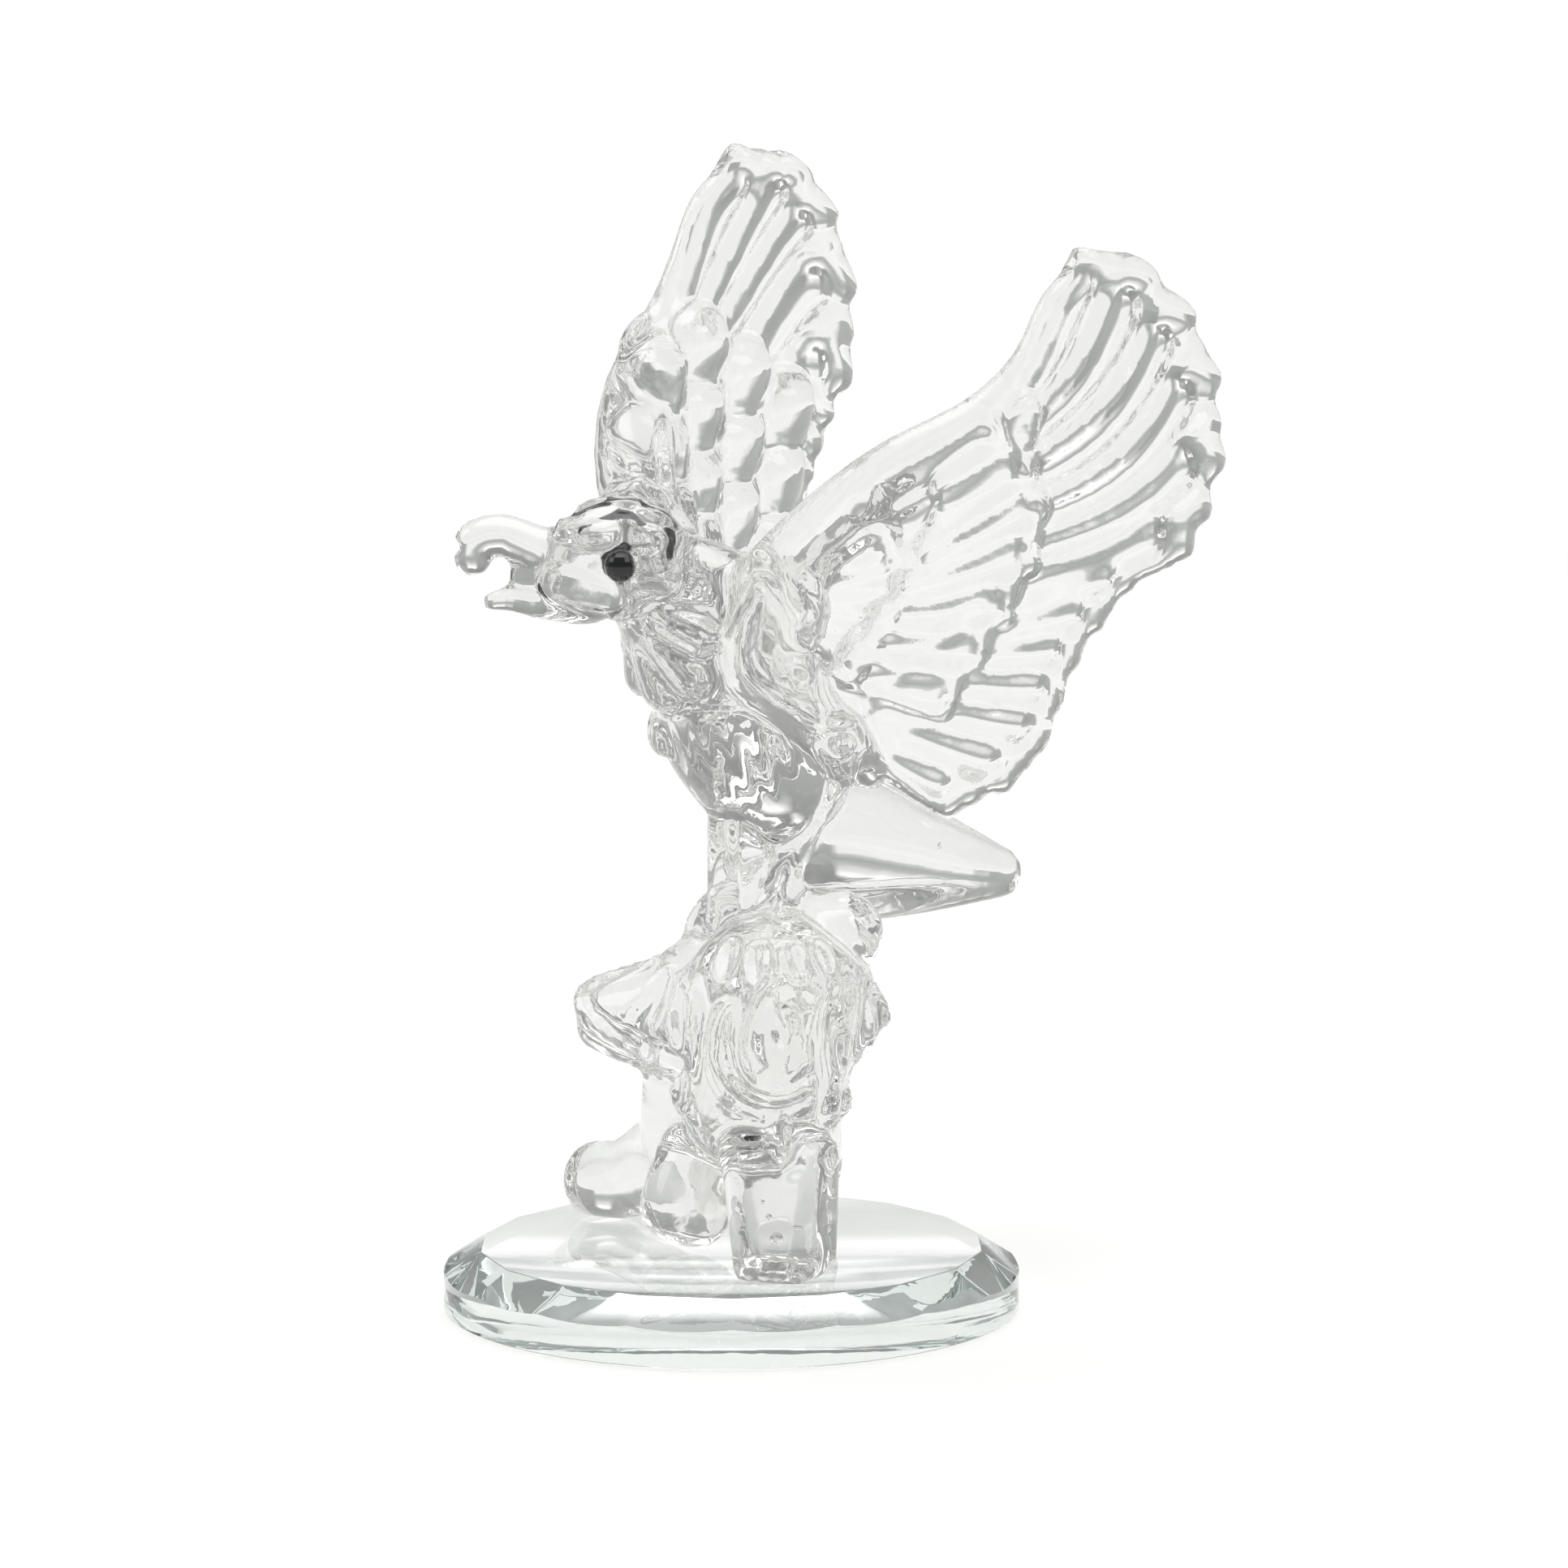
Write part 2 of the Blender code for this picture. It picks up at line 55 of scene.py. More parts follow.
to_right = Vector((math.cos(CAMERA_HEADING), math.sin(CAMERA_HEADING), 0))
away = Vector((-math.sin(CAMERA_HEADING), math.cos(CAMERA_HEADING), 0))
up = Vector((0, 0, 1))
looking = ((to_right * math.sin(CAMERA_YAW) + away * math.cos(CAMERA_YAW)) * math.cos(CAMERA_PITCH)
           - up * math.sin(CAMERA_PITCH))
lens = bpy.data.cameras.new("photo_camera")
lens.sensor_width = SENSOR_MM
lens.lens = SENSOR_MM * FOCAL_PIXELS / PHOTO_SIDE
lens.clip_start = 0.01
camera = bpy.data.objects.new("photo_camera", lens)
camera.location = up * (CAMERA_DISTANCE * math.sin(CAMERA_ELEVATION)) - away * (
    CAMERA_DISTANCE * math.cos(CAMERA_ELEVATION))
camera.rotation_euler = looking.to_track_quat("-Z", "Y").to_euler()
bpy.context.scene.collection.objects.link(camera)
bpy.context.scene.camera = camera


# The room, its white backdrop and the table
# The table is matt white card, and a white backdrop hangs behind it. The room round them is grey, which
# draws the grey bands and dark lines in the clear glass. Its ceiling and two softboxes light the table.
def linear(hex_colour):
    """An sRGB hex colour as the linear colour that a shader takes."""
    channels = [int(hex_colour[k:k + 2], 16) / 255 for k in (1, 3, 5)]
    return tuple(c / 12.92 if c <= 0.04045 else ((c + 0.055) / 1.055) ** 2.4 for c in channels) + (1.0,)


def add_node(tree, kind, settings=None, links=None):
    """Adds a node. Settings are the values of its properties and sockets, or the stops of its colour ramp,
    and links give the output that feeds a socket. A socket goes by its name, or by its number."""
    node = tree.nodes.new(kind)
    for name, value in (settings or {}).items():
        if name == "stops":
            while len(node.color_ramp.elements) < len(value):
                node.color_ramp.elements.new(0.5)
            for element, (position, colour) in zip(node.color_ramp.elements, value):
                element.position = position
                element.color = linear(colour)
        elif isinstance(name, int) or name in node.inputs:
            node.inputs[name].default_value = value
        else:
            setattr(node, name, value)
    for socket, output in (links or {}).items():
        tree.links.new(output, node.inputs[socket])
    return node


def new_material(name):
    """A new material, and its node tree with nothing in it."""
    material = bpy.data.materials.new(name)
    material.use_nodes = True
    tree = material.node_tree
    tree.nodes.clear()
    return material, tree


UP_THE_ROOM = ((0.0, "#b2b4b3"), (0.12, "#aaacab"), (0.30, "#9ea09e"), (0.55, "#8e908e"), (0.82, "#b8bab8"))
CEILING_FROM, CEILING_TO = 0.82, 0.92
CEILING_BRIGHTNESS = 2.4
BACKDROP_HALF_WIDTH, BACKDROP_SIDE_EDGE = 0.155, 0.11  # for each metre that it is away, like its height
BACKDROP_HEIGHT = 0.4
BACKDROP_BRIGHTNESS = 1.6
UP_THE_BACKDROP = ((0.0, "#d2d2d2"), (0.06, "#d2d2d2"), (0.13, "#aaacab"), (0.24, "#8e908f"),
                   (0.40, "#a0a2a1"), (0.50, "#bcbcbc"), (0.62, "#c8c8c8"), (0.82, "#f4f4f4"),
                   (1.0, "#8a8c8b"))
STRAIGHT_ASIDE = 0.1  # directions that lean forward less than this never meet the backdrop
LIGHT_BOUNCES = 48  # light crosses many faces of the casting before it is out again

world = bpy.data.worlds.new("photo_room")
world.use_nodes = True
bpy.context.scene.world = world
tree = world.node_tree
tree.nodes.clear()
direction = add_node(tree, "ShaderNodeTexCoord").outputs["Generated"]
height = add_node(tree, "ShaderNodeSeparateXYZ", links={"Vector": direction}).outputs["Z"]
sideways, ahead = [add_node(tree, "ShaderNodeVectorMath", {"operation": "DOT_PRODUCT", 1: axis},
                            {0: direction}).outputs["Value"] for axis in (to_right, away)]
lean = add_node(tree, "ShaderNodeMath", {"operation": "DIVIDE"}, {0: sideways, 1: ahead}).outputs[0]
aside = add_node(tree, "ShaderNodeMath", {"operation": "ABSOLUTE"}, {0: lean}).outputs[0]
rise = add_node(tree, "ShaderNodeMath", {"operation": "DIVIDE"}, {0: height, 1: ahead}).outputs[0]
side_edge = {"From Min": BACKDROP_HALF_WIDTH + BACKDROP_SIDE_EDGE, "From Max": BACKDROP_HALF_WIDTH}
fade = add_node(tree, "ShaderNodeMapRange", side_edge, {"Value": aside}).outputs["Result"]
forward = add_node(tree, "ShaderNodeMath", {"operation": "GREATER_THAN", 1: STRAIGHT_ASIDE}, {0: ahead})
below_top = add_node(tree, "ShaderNodeMath", {"operation": "LESS_THAN", 1: BACKDROP_HEIGHT}, {0: rise})
across = add_node(tree, "ShaderNodeMath", {"operation": "MULTIPLY"}, {0: forward.outputs[0], 1: fade})
on_backdrop = add_node(tree, "ShaderNodeMath", {"operation": "MULTIPLY"},
                       {0: across.outputs[0], 1: below_top.outputs[0]}).outputs[0]
share = add_node(tree, "ShaderNodeMath", {"operation": "DIVIDE", 1: BACKDROP_HEIGHT}, {0: rise}).outputs[0]
cloth = add_node(tree, "ShaderNodeValToRGB", {"stops": UP_THE_BACKDROP}, {"Fac": share}).outputs["Color"]
lit_cloth = add_node(tree, "ShaderNodeVectorMath", {"operation": "SCALE", "Scale": BACKDROP_BRIGHTNESS},
                     {0: cloth}).outputs[0]
grey = add_node(tree, "ShaderNodeValToRGB", {"stops": UP_THE_ROOM}, {"Fac": height}).outputs["Color"]
walls = add_node(tree, "ShaderNodeMix", {"data_type": "RGBA"},
                 {0: on_backdrop, 6: grey, 7: lit_cloth}).outputs[2]
ceiling_edge = {"From Min": CEILING_FROM, "From Max": CEILING_TO, "To Max": CEILING_BRIGHTNESS}
ceiling = add_node(tree, "ShaderNodeMapRange", ceiling_edge, {"Value": height}).outputs["Result"]
whole = add_node(tree, "ShaderNodeVectorMath", {"operation": "ADD"}, {0: walls, 1: ceiling}).outputs[0]
background = add_node(tree, "ShaderNodeBackground", {"Strength": 1.0}, {"Color": whole})
add_node(tree, "ShaderNodeOutputWorld", links={"Surface": background.outputs["Background"]})
bpy.context.scene.view_settings.view_transform = "Standard"
bpy.context.scene.cycles.max_bounces = LIGHT_BOUNCES
bpy.context.scene.cycles.transmission_bounces = LIGHT_BOUNCES
bpy.context.scene.cycles.glossy_bounces = LIGHT_BOUNCES

SOFTBOX_AIM = Vector((0, 0, 0.05))
SOFTBOXES = (  # name, place in metres, side in metres, watts
    ("left_softbox", (-0.70, -0.80, 0.80), 0.60, 2.0),
    ("right_softbox", (0.95, 0.45, 0.80), 0.60, 2.0),
)
for name, place, side, watts in SOFTBOXES:
    lamp = bpy.data.lights.new(name, "AREA")
    lamp.shape = "SQUARE"
    lamp.size = side
    lamp.energy = watts
    softbox = bpy.data.objects.new(name, lamp)
    softbox.location = place
    softbox.rotation_euler = (SOFTBOX_AIM - Vector(place)).to_track_quat("-Z", "Y").to_euler()
    bpy.context.scene.collection.objects.link(softbox)

TABLE_RADIUS = 0.9
TABLE_DROP = 0.0002  # keeps the card clear of the plate's underside
# The card's colour is a little whiter towards its edge. This is painted light: it makes up for the softboxes'
# light falling off away from the middle.
CARD_WHITE_AND_PAINTED_LIGHT = ((0.0, "#f7f7f6"), (0.36, "#f7f7f6"), (0.6, "#ffffff"))  # at metres from its middle
table_card, tree = new_material("white_card")
place = add_node(tree, "ShaderNodeTexCoord").outputs["Object"]
reach = add_node(tree, "ShaderNodeVectorMath", {"operation": "LENGTH"}, {0: place}).outputs["Value"]
white = add_node(tree, "ShaderNodeValToRGB", {"stops": CARD_WHITE_AND_PAINTED_LIGHT}, {"Fac": reach}).outputs["Color"]
card = add_node(tree, "ShaderNodeBsdfDiffuse", links={"Color": white})
add_node(tree, "ShaderNodeOutputMaterial", links={"Surface": card.outputs["BSDF"]})
table_mesh = bpy.data.meshes.new("table")
draft = bmesh.new()
bmesh.ops.create_circle(draft, cap_ends=True, segments=96, radius=TABLE_RADIUS)
draft.to_mesh(table_mesh)
draft.free()
table = bpy.data.objects.new("table", table_mesh)
table.location.z = -TABLE_DROP
table_mesh.materials.append(table_card)
bpy.context.scene.collection.objects.link(table)


# The glass plate
# The base is a disc of polished float glass with a plain round wall. Flat facets are ground round its upper
# edge, and its top and bottom rims are broken by a fine arris that catches the light.
FACETS = 18
WALL_STEPS = 8  # flat sides that stand for the round wall below each facet
ARRIS = 0.00012
PLATE_RADIUS = 0.030
PLATE_TOP_RADIUS = 0.0263
PLATE_THICKNESS = 0.0064
WALL_HEIGHT = 0.0040
SMOOTH_BELOW = 12  # degrees between two faces
UPRIGHT = 0.05  # the wall's faces lean less than this, and only they are smooth
POLISH_RIPPLE, POLISH_RIPPLE_HEIGHT = 0.004, 0.000004
DUST_SPACING, DUST_HEIGHT = 0.0009, 0.00004
GLASS_IOR = 1.52


def polish_bump(tree, spacing, height):
    """The faint ripple that polishing leaves in glass, from its spacing and height in metres."""
    place = add_node(tree, "ShaderNodeTexCoord").outputs["Object"]
    ripple = add_node(tree, "ShaderNodeTexNoise", {"Scale": 1 / spacing, "Detail": 2.0}, {"Vector": place})
    bump = add_node(tree, "ShaderNodeBump", {"Strength": 1.0, "Distance": height},
                    {"Height": ripple.outputs["Fac"]})
    return bump.outputs["Normal"]


def fill_with_glass(tree, colour, normal, tint, density):
    """Clear glass behind a surface: what the tint lacks is taken from light on its way through."""
    shader = add_node(tree, "ShaderNodeBsdfPrincipled", {"Base Color": linear(colour), "Roughness": 0.0,
                                                         "IOR": GLASS_IOR, "Transmission Weight": 1.0},
                      {"Normal": normal})
    body = add_node(tree, "ShaderNodeVolumeAbsorption", {"Color": linear(tint), "Density": density})
    add_node(tree, "ShaderNodeOutputMaterial",
             links={"Surface": shader.outputs["BSDF"], "Volume": body.outputs["Volume"]})


plate_shape = bmesh.new()
bmesh.ops.create_cone(plate_shape, segments=FACETS * WALL_STEPS, radius1=PLATE_RADIUS, radius2=PLATE_RADIUS,
                      depth=PLATE_THICKNESS, cap_ends=True,
                      matrix=Matrix.Translation((0, 0, PLATE_THICKNESS / 2)))
half_facet = math.pi / FACETS
for k in range(FACETS):
    turn = -math.pi / 2 + 2 * half_facet * k
    out = Vector((math.cos(turn), math.sin(turn), 0))
    slope = out * (PLATE_THICKNESS - WALL_HEIGHT) + Vector((0, 0, PLATE_RADIUS - PLATE_TOP_RADIUS))
    edge = out * (PLATE_TOP_RADIUS * math.cos(half_facet)) + Vector((0, 0, PLATE_THICKNESS))
    whole_plate = plate_shape.verts[:] + plate_shape.edges[:] + plate_shape.faces[:]
    cut = bmesh.ops.bisect_plane(plate_shape, geom=whole_plate, plane_co=edge, plane_no=slope.normalized(),
                                 clear_outer=True)
    facet_rim = [part for part in cut["geom_cut"] if isinstance(part, bmesh.types.BMEdge)]
    bmesh.ops.contextual_create(plate_shape, geom=facet_rim)
rims = [edge for edge in plate_shape.edges if edge.calc_face_angle(0) > math.radians(SMOOTH_BELOW)
        and any(all(abs(vertex.co.z - level) < 1e-6 for vertex in edge.verts)
                for level in (0, PLATE_THICKNESS))]
bmesh.ops.bevel(plate_shape, geom=rims, offset=ARRIS, segments=2, profile=0.5, affect="EDGES")
plate_shape.normal_update()
for face in plate_shape.faces:
    face.smooth = abs(face.normal.z) < UPRIGHT
plate_mesh = bpy.data.meshes.new("bevelled_plate")
plate_shape.to_mesh(plate_mesh)
plate_shape.free()
plate_mesh.set_sharp_from_angle(angle=math.radians(SMOOTH_BELOW))
plate = bpy.data.objects.new("bevelled_plate", plate_mesh)
bpy.context.scene.collection.objects.link(plate)

# Float glass, polished, is clear and mirror smooth. A faint ripple and a few specks of dust show its faces,
# and the iron in it gives a grey green tint where it is seen through its length.
float_glass, tree = new_material("float_glass")
place = add_node(tree, "ShaderNodeTexCoord").outputs["Object"]
dust = add_node(tree, "ShaderNodeTexVoronoi", {"Scale": 1 / DUST_SPACING}, {"Vector": place})
speck = add_node(tree, "ShaderNodeMapRange", {"From Min": 0.06, "From Max": 0.03},
                 {"Value": dust.outputs["Distance"]})
specks = add_node(tree, "ShaderNodeBump", {"Strength": 0.5, "Distance": DUST_HEIGHT},
                  {"Height": speck.outputs["Result"],
                   "Normal": polish_bump(tree, POLISH_RIPPLE, POLISH_RIPPLE_HEIGHT)})
fill_with_glass(tree, "#ffffff", specks.outputs["Normal"], tint="#7caa9e", density=2.6)
plate_mesh.materials.append(float_glass)
plate.visible_shadow = False
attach(plate, "root")
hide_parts("glass_base")


# The casting
# The eagle and its stump are one piece of clear crystal glass, pressed in a mould and fire polished, so
# that every edge is soft, and glued to the plate. Its points are in units of one 112th of its height,
# measured from its glued foot.
FIGURE_HEIGHT = 0.1120
FIGURE_UNITS = 112
GLUE_GAP = 0.0003
LOBE_SIDES, LOBE_RINGS = 24, 28
END_ROUNDNESS = 0.8
MOULD_DETAIL = 0.00052
FIRE_POLISH_PASSES = 2
FIRE_POLISH_RIPPLE, FIRE_POLISH_RIPPLE_HEIGHT = 0.003, 0.00002
UNIT = FIGURE_HEIGHT / FIGURE_UNITS
FOOT_HEIGHT = PLATE_THICKNESS + GLUE_GAP


def figure(x, y, z):
    """A point of the figure, from its units."""
    return Vector((x, y, z)) * UNIT + Vector((0, 0, FOOT_HEIGHT))


def along(values, t):
    """The value at share t of a smooth line through the values, which are numbers, tuples or vectors."""
    last = len(values) - 1
    place = min(max(t, 0.0), 1.0) * last
    k = min(int(place), last - 1)
    u = place - k
    v = [Vector(values[i]) if isinstance(values[i], (tuple, Vector)) else values[i]
         for i in (max(k - 1, 0), k, k + 1, min(k + 2, last))]
    slope_in = (v[2] - v[0]) * 0.5
    slope_out = (v[3] - v[1]) * 0.5
    cube, square = u ** 3, u ** 2
    return (v[1] * (2 * cube - 3 * square + 1) + slope_in * (cube - 2 * square + u)
            + v[2] * (3 * square - 2 * cube) + slope_out * (cube - square))


def run_at(curve, t):
    """How a curve runs at t, from a little before it to a little after."""
    return curve(min(t + 0.02, 1)) - curve(max(t - 0.02, 0))


class Shape:
    """Closed lobes, gathered before they are fused. Each is one ball carried along its own spine."""

    def __init__(self):
        ball_shape = bmesh.new()
        bmesh.ops.create_uvsphere(ball_shape, u_segments=LOBE_SIDES, v_segments=LOBE_RINGS, radius=1)
        self.ball = [vertex.co.copy() for vertex in ball_shape.verts]
        self.ball_faces = [[vertex.index for vertex in face.verts] for face in ball_shape.faces]
        ball_shape.free()
        self.points = []
        self.faces = []

    def add_lobe(self, spine, half_sizes, top, roundness=END_ROUNDNESS):
        """Adds one closed lobe. spine(t) is its centre line, half_sizes(t) its half width and half thickness
        in metres, and top(t) the direction of its thickness. A small roundness makes its ends blunt."""
        steps = 40
        stations = [spine(i / steps) for i in range(steps + 1)]
        length = sum((b - a).length for a, b in zip(stations, stations[1:]))
        end_round = [min(roundness * max(half_sizes(end)), 0.45 * length) for end in (0, 1)]
        first = len(self.points)
        sections = {}
        for x, y, z in self.ball:
            ring = round(z, 4)
            if ring not in sections:
                t = min(max(0.5 - 0.5 * ring, 0.0), 1.0)
                to_ends = (t * length / end_round[0], (1 - t) * length / end_round[1])
                fullness = math.prod(math.sqrt(max(0.0, 1 - (1 - min(d, 1.0)) ** 2)) for d in to_ends)
                forward = run_at(spine, t).normalized()
                across = top(t).cross(forward).normalized()
                half_width, half_thickness = half_sizes(t)
                sections[ring] = (spine(t), across * (half_width * fullness),
                                  forward.cross(across) * (half_thickness * fullness))
            centre, wide, thick = sections[ring]
            reach = max(math.hypot(x, y), 1e-6)
            self.points.append(centre + wide * (x / reach) + thick * (y / reach))
        self.faces.extend([first + i for i in face] for face in self.ball_faces)

    def add_skin(self, skin):
        """Adds a closed mesh."""
        first = len(self.points)
        self.points.extend(vertex.co.copy() for vertex in skin.vertices)
        self.faces.extend([first + i for i in face.vertices] for face in skin.polygons)

    def mesh(self, name):
        """All that was gathered, as one mesh."""
        mesh = bpy.data.meshes.new(name)
        mesh.from_pydata(self.points, [], self.faces)
        return mesh


def add_limb(shape, points, half_sizes, top=(0, 0, 1)):
    """Adds a lobe that follows figure points. Each half size is a radius or a (width, thickness) pair."""
    centres = [figure(*p) for p in points]
    pairs = [s if isinstance(s, tuple) else (s, s) for s in half_sizes]
    shape.add_lobe(
        lambda t: along(centres, t),
        lambda t: tuple(along(pairs, t) * UNIT),
        lambda t: Vector(top),
    )


def add_block(shape, bottom, top, half_bottom, half_top, across, edge):
    """Adds an upright block with worn edges. Its half sizes are along across, then square to it."""
    block = bmesh.new()
    bmesh.ops.create_cube(block, size=2)
    bottom, top, across = Vector(bottom), Vector(top), Vector(across)
    forward = across.cross(Vector((0, 0, 1)))
    for vertex in block.verts:
        share = (vertex.co.z + 1) / 2
        half = Vector(half_bottom).lerp(Vector(half_top), share)
        vertex.co = figure(*(bottom.lerp(top, share) + across * (half.x * vertex.co.x)
                             + forward * (half.y * vertex.co.y)))
    bmesh.ops.recalc_face_normals(block, faces=block.faces)
    bmesh.ops.bevel(block, geom=block.edges[:], offset=edge * UNIT, segments=3, profile=0.5, affect="EDGES")
    mesh = bpy.data.meshes.new("block")
    block.to_mesh(mesh)
    block.free()
    shape.add_skin(mesh)
    bpy.data.meshes.remove(mesh)


class Skin:
    """The fused skin of the main forms, on which the finer ones are laid."""

    def __init__(self, mesh):
        self.tree = BVHTree.FromPolygons([vertex.co for vertex in mesh.vertices],
                                         [face.vertices[:] for face in mesh.polygons])

    def meet(self, inside, direction, proud=0.0):
        """Where a line from a point inside leaves the skin, in the figure's units, or a little past it."""
        direction = Vector(direction).normalized()
        hit = self.tree.ray_cast(figure(*inside), direction)[0]
        return (hit - Vector((0, 0, FOOT_HEIGHT))) / UNIT + direction * proud


BODY_SPINE = [(0, 9, 43), (0, 6.4, 47.5), (0, 3.0, 54),
              (-0.3, -0.6, 61), (-1.5, -5.2, 66.6), (-4, -10.5, 70)]
BODY_GIRTH = [(6.4, 5.9), (8.8, 7.8), (10.2, 9.4), (9.2, 8.8), (7.3, 7.4), (5.8, 5.8)]
BREAST_DROPS = (  # the turns and the shares of the spine at the top and the foot of each feather
    (1, 5, 0.87, 0.61),
    (24, 33, 0.88, 0.64),
    (50, 60, 0.90, 0.73),
)
DROP_GIRTH = [(1.0, 0.9), (1.5, 1.4), (1.9, 1.6), (1.7, 1.3)]
SHOULDER_RIDGE = [(9.9, -4.0, 70.5), (8.9, -5.9, 65.8), (7.9, -5.4, 61.5),
                  (8.5, -2.7, 58.2), (10.2, 2.2, 54.4), (10.9, 6.8, 49.4)]
SHOULDER_KNOBS = [((8.2, 0.4, 61.8), (8.3, 1.8, 58.4), 2.3), ((10.8, 4.4, 55.2), (11.0, 5.8, 51.2), 2.6)]
FLANK_RIDGE = [(10.2, 6.4, 49.2), (7.0, 6.2, 44.6), (4.2, 5.4, 40.4), (5.8, 2.4, 37.0), (8.6, -0.6, 33.6)]


def add_body(shape):
    """The trunk of the bird from rump to neck, and the square block that its legs are moulded in."""
    add_limb(shape, BODY_SPINE, BODY_GIRTH, top=(0, 1, 0))
    add_limb(shape, [(-3.2, -7.7, 70.2), (0.8, -3.2, 67.4), (3.0, 2.0, 65.0)], [5.2, 5.6, 5.0])
    add_block(shape, (0, 5, 33), (0, 5, 46), (2.8, 6.2), (2.8, 6.2), (1, 0, 0), 0.5)


def add_breast(shape, hollows, skin):
    """The breast feathers, which are long drops from the throat, and the ridges of shoulder and flank."""
    def on_breast(share, turn, proud):
        """A point of the breast, at a share of the spine and a turn in degrees round it from its front."""
        run = run_at(lambda t: along(BODY_SPINE, t), share)
        across = (Vector((1, 0, 0)) - run * (run.x / run.length_squared)).normalized()
        ahead = across.cross(run).normalized()
        turn = math.radians(turn)
        return skin.meet(along(BODY_SPINE, share), across * math.sin(turn) + ahead * math.cos(turn), proud)

    for side in (1, -1):
        for top_turn, end_turn, top_share, end_share in BREAST_DROPS:
            path = []
            for place, proud in ((0, -0.9), (0.35, -0.1), (0.75, 0.2), (1, -0.3)):
                turn = side * (top_turn + (end_turn - top_turn) * place)
                path.append(on_breast(top_share + (end_share - top_share) * place, turn, proud))
            add_limb(shape, path, DROP_GIRTH, top=(0.5 * side, -0.8, -0.3))
        crease = [on_breast(0.61 - 0.0016 * turn, side * turn, 0.3) for turn in (10, 22, 34, 46, 58)]
        add_limb(hollows, crease, [0.5, 0.75, 0.8, 0.75, 0.5])
    right_feathers = 3
    for k in range(right_feathers):
        turn = math.radians(-70 + 22 * k)
        out = Vector((math.sin(turn), -math.cos(turn), -0.1))
        path = [skin.meet(along(BODY_SPINE, share), out, proud)
                for share, proud in ((0.47, -0.8), (0.40, 0), (0.34, 0.2))]
        add_limb(shape, path, [(1.1, 0.9), (1.9, 1.2), (1.7, 1.1)], top=out)
    add_limb(shape, SHOULDER_RIDGE, [1.0, 1.4, 1.5, 1.5, 1.4, 1.0], top=(1, 0, 0))
    for start, end, radius in SHOULDER_KNOBS:
        add_limb(shape, [start, end], [radius, radius], top=(1, 0, 0))
        middle = (Vector(start) + Vector(end)) / 2
        out = Vector((0.85, -0.45, -0.2))
        centre = middle + out * (radius + 0.2)
        lean = (Vector(end) - Vector(start)) * 0.3
        add_limb(hollows, [centre - lean, centre + lean], [0.6 * radius, 0.6 * radius], top=(1, 0, 0))
    add_limb(shape, FLANK_RIDGE, [0.8, 0.9, 0.9, 0.9, 0.8], top=(1, 0, 0))


class Head:
    """The head's own directions: it is turned from the chest's heading towards the right wing."""

    TURN = math.radians(40)
    CENTRE = Vector((-4.8, -11.9, 70.8))

    def __init__(self):
        self.forward = Vector((-math.sin(self.TURN), -math.cos(self.TURN), 0))
        self.left = Vector((math.cos(self.TURN), -math.sin(self.TURN), 0))

    def place(self, forward, left, up):
        """A point of the figure, from the head's centre along its own directions."""
        return self.CENTRE + self.forward * forward + self.left * left + Vector((0, 0, up))

    def add(self, shape, points, half_sizes):
        """Adds a limb in the head's own directions."""
        add_limb(shape, [self.place(*p) for p in points], half_sizes)


def add_head(shape):
    """The skull, brows, cheeks, hooked upper beak and open lower beak."""
    head = Head()
    head.add(shape, [(-7, 0, -1.5), (-2.5, 0, 0.3), (2.5, 0, 0.5), (6.5, 0, 0.4)],
             [5.2, (5.6, 6.0), (4.9, 5.4), 3.0])
    head.add(shape, [(4, 0, 0.6), (7.5, 0, 1.8), (11.2, 0, 3.2), (14.1, 0, 2.2), (13.6, 0, -0.9)],
             [(3.0, 3.0), (2.6, 2.4), (2.3, 2.2), (2.1, 2.1), (1.7, 1.7)])
    head.add(shape, [(2, 0, -1.6), (6, 0, -1.2), (10.3, 0, -0.6)], [3.0, 2.2, 1.3])
    head.add(shape, [(0, 0, -3.6), (6, 0, -3.9), (10, 0, -3.4), (13.0, 0, -3.7)],
             [(4.0, 2.9), (2.7, 1.8), (1.7, 1.3), (1.2, 0.9)])
    for side in (-1, 1):
        head.add(shape, [(5.6, 2.2 * side, 3.7), (1.5, 3.8 * side, 3.6), (-3.5, 4.0 * side, 2.6)],
                 [1.1, 1.3, 1.0])
        head.add(shape, [(6.5, 1.8 * side, -1.4), (3.4, 3.2 * side, -1.8), (-1.0, 3.8 * side, -3.2)],
                 [1.5, 1.9, 1.7])


def add_crown(shape, skin):
    """The small feathers that lie over the skull and cheeks, from the brow to the nape."""
    head = Head()
    rows, across, step = 3, 9, 26
    for row in range(rows):
        for k in range(across):
            turn = math.radians(step * (k - (across - 1) / 2) + (step / 2 if row % 2 else 0))
            out = head.left * math.sin(turn) + Vector((0, 0, math.cos(turn)))
            eye_is_here = row < 2 and abs(math.degrees(turn)) > 58
            if not eye_is_here:
                path = [skin.meet(head.place(forward, 0, 0), out, 0.1)
                        for forward in (3.4 - 2.8 * row, 1.4 - 2.8 * row, -0.6 - 2.8 * row)]
                add_limb(shape, path, [(0.7, 0.6), (1.2, 0.8), (1.1, 0.7)], top=out)


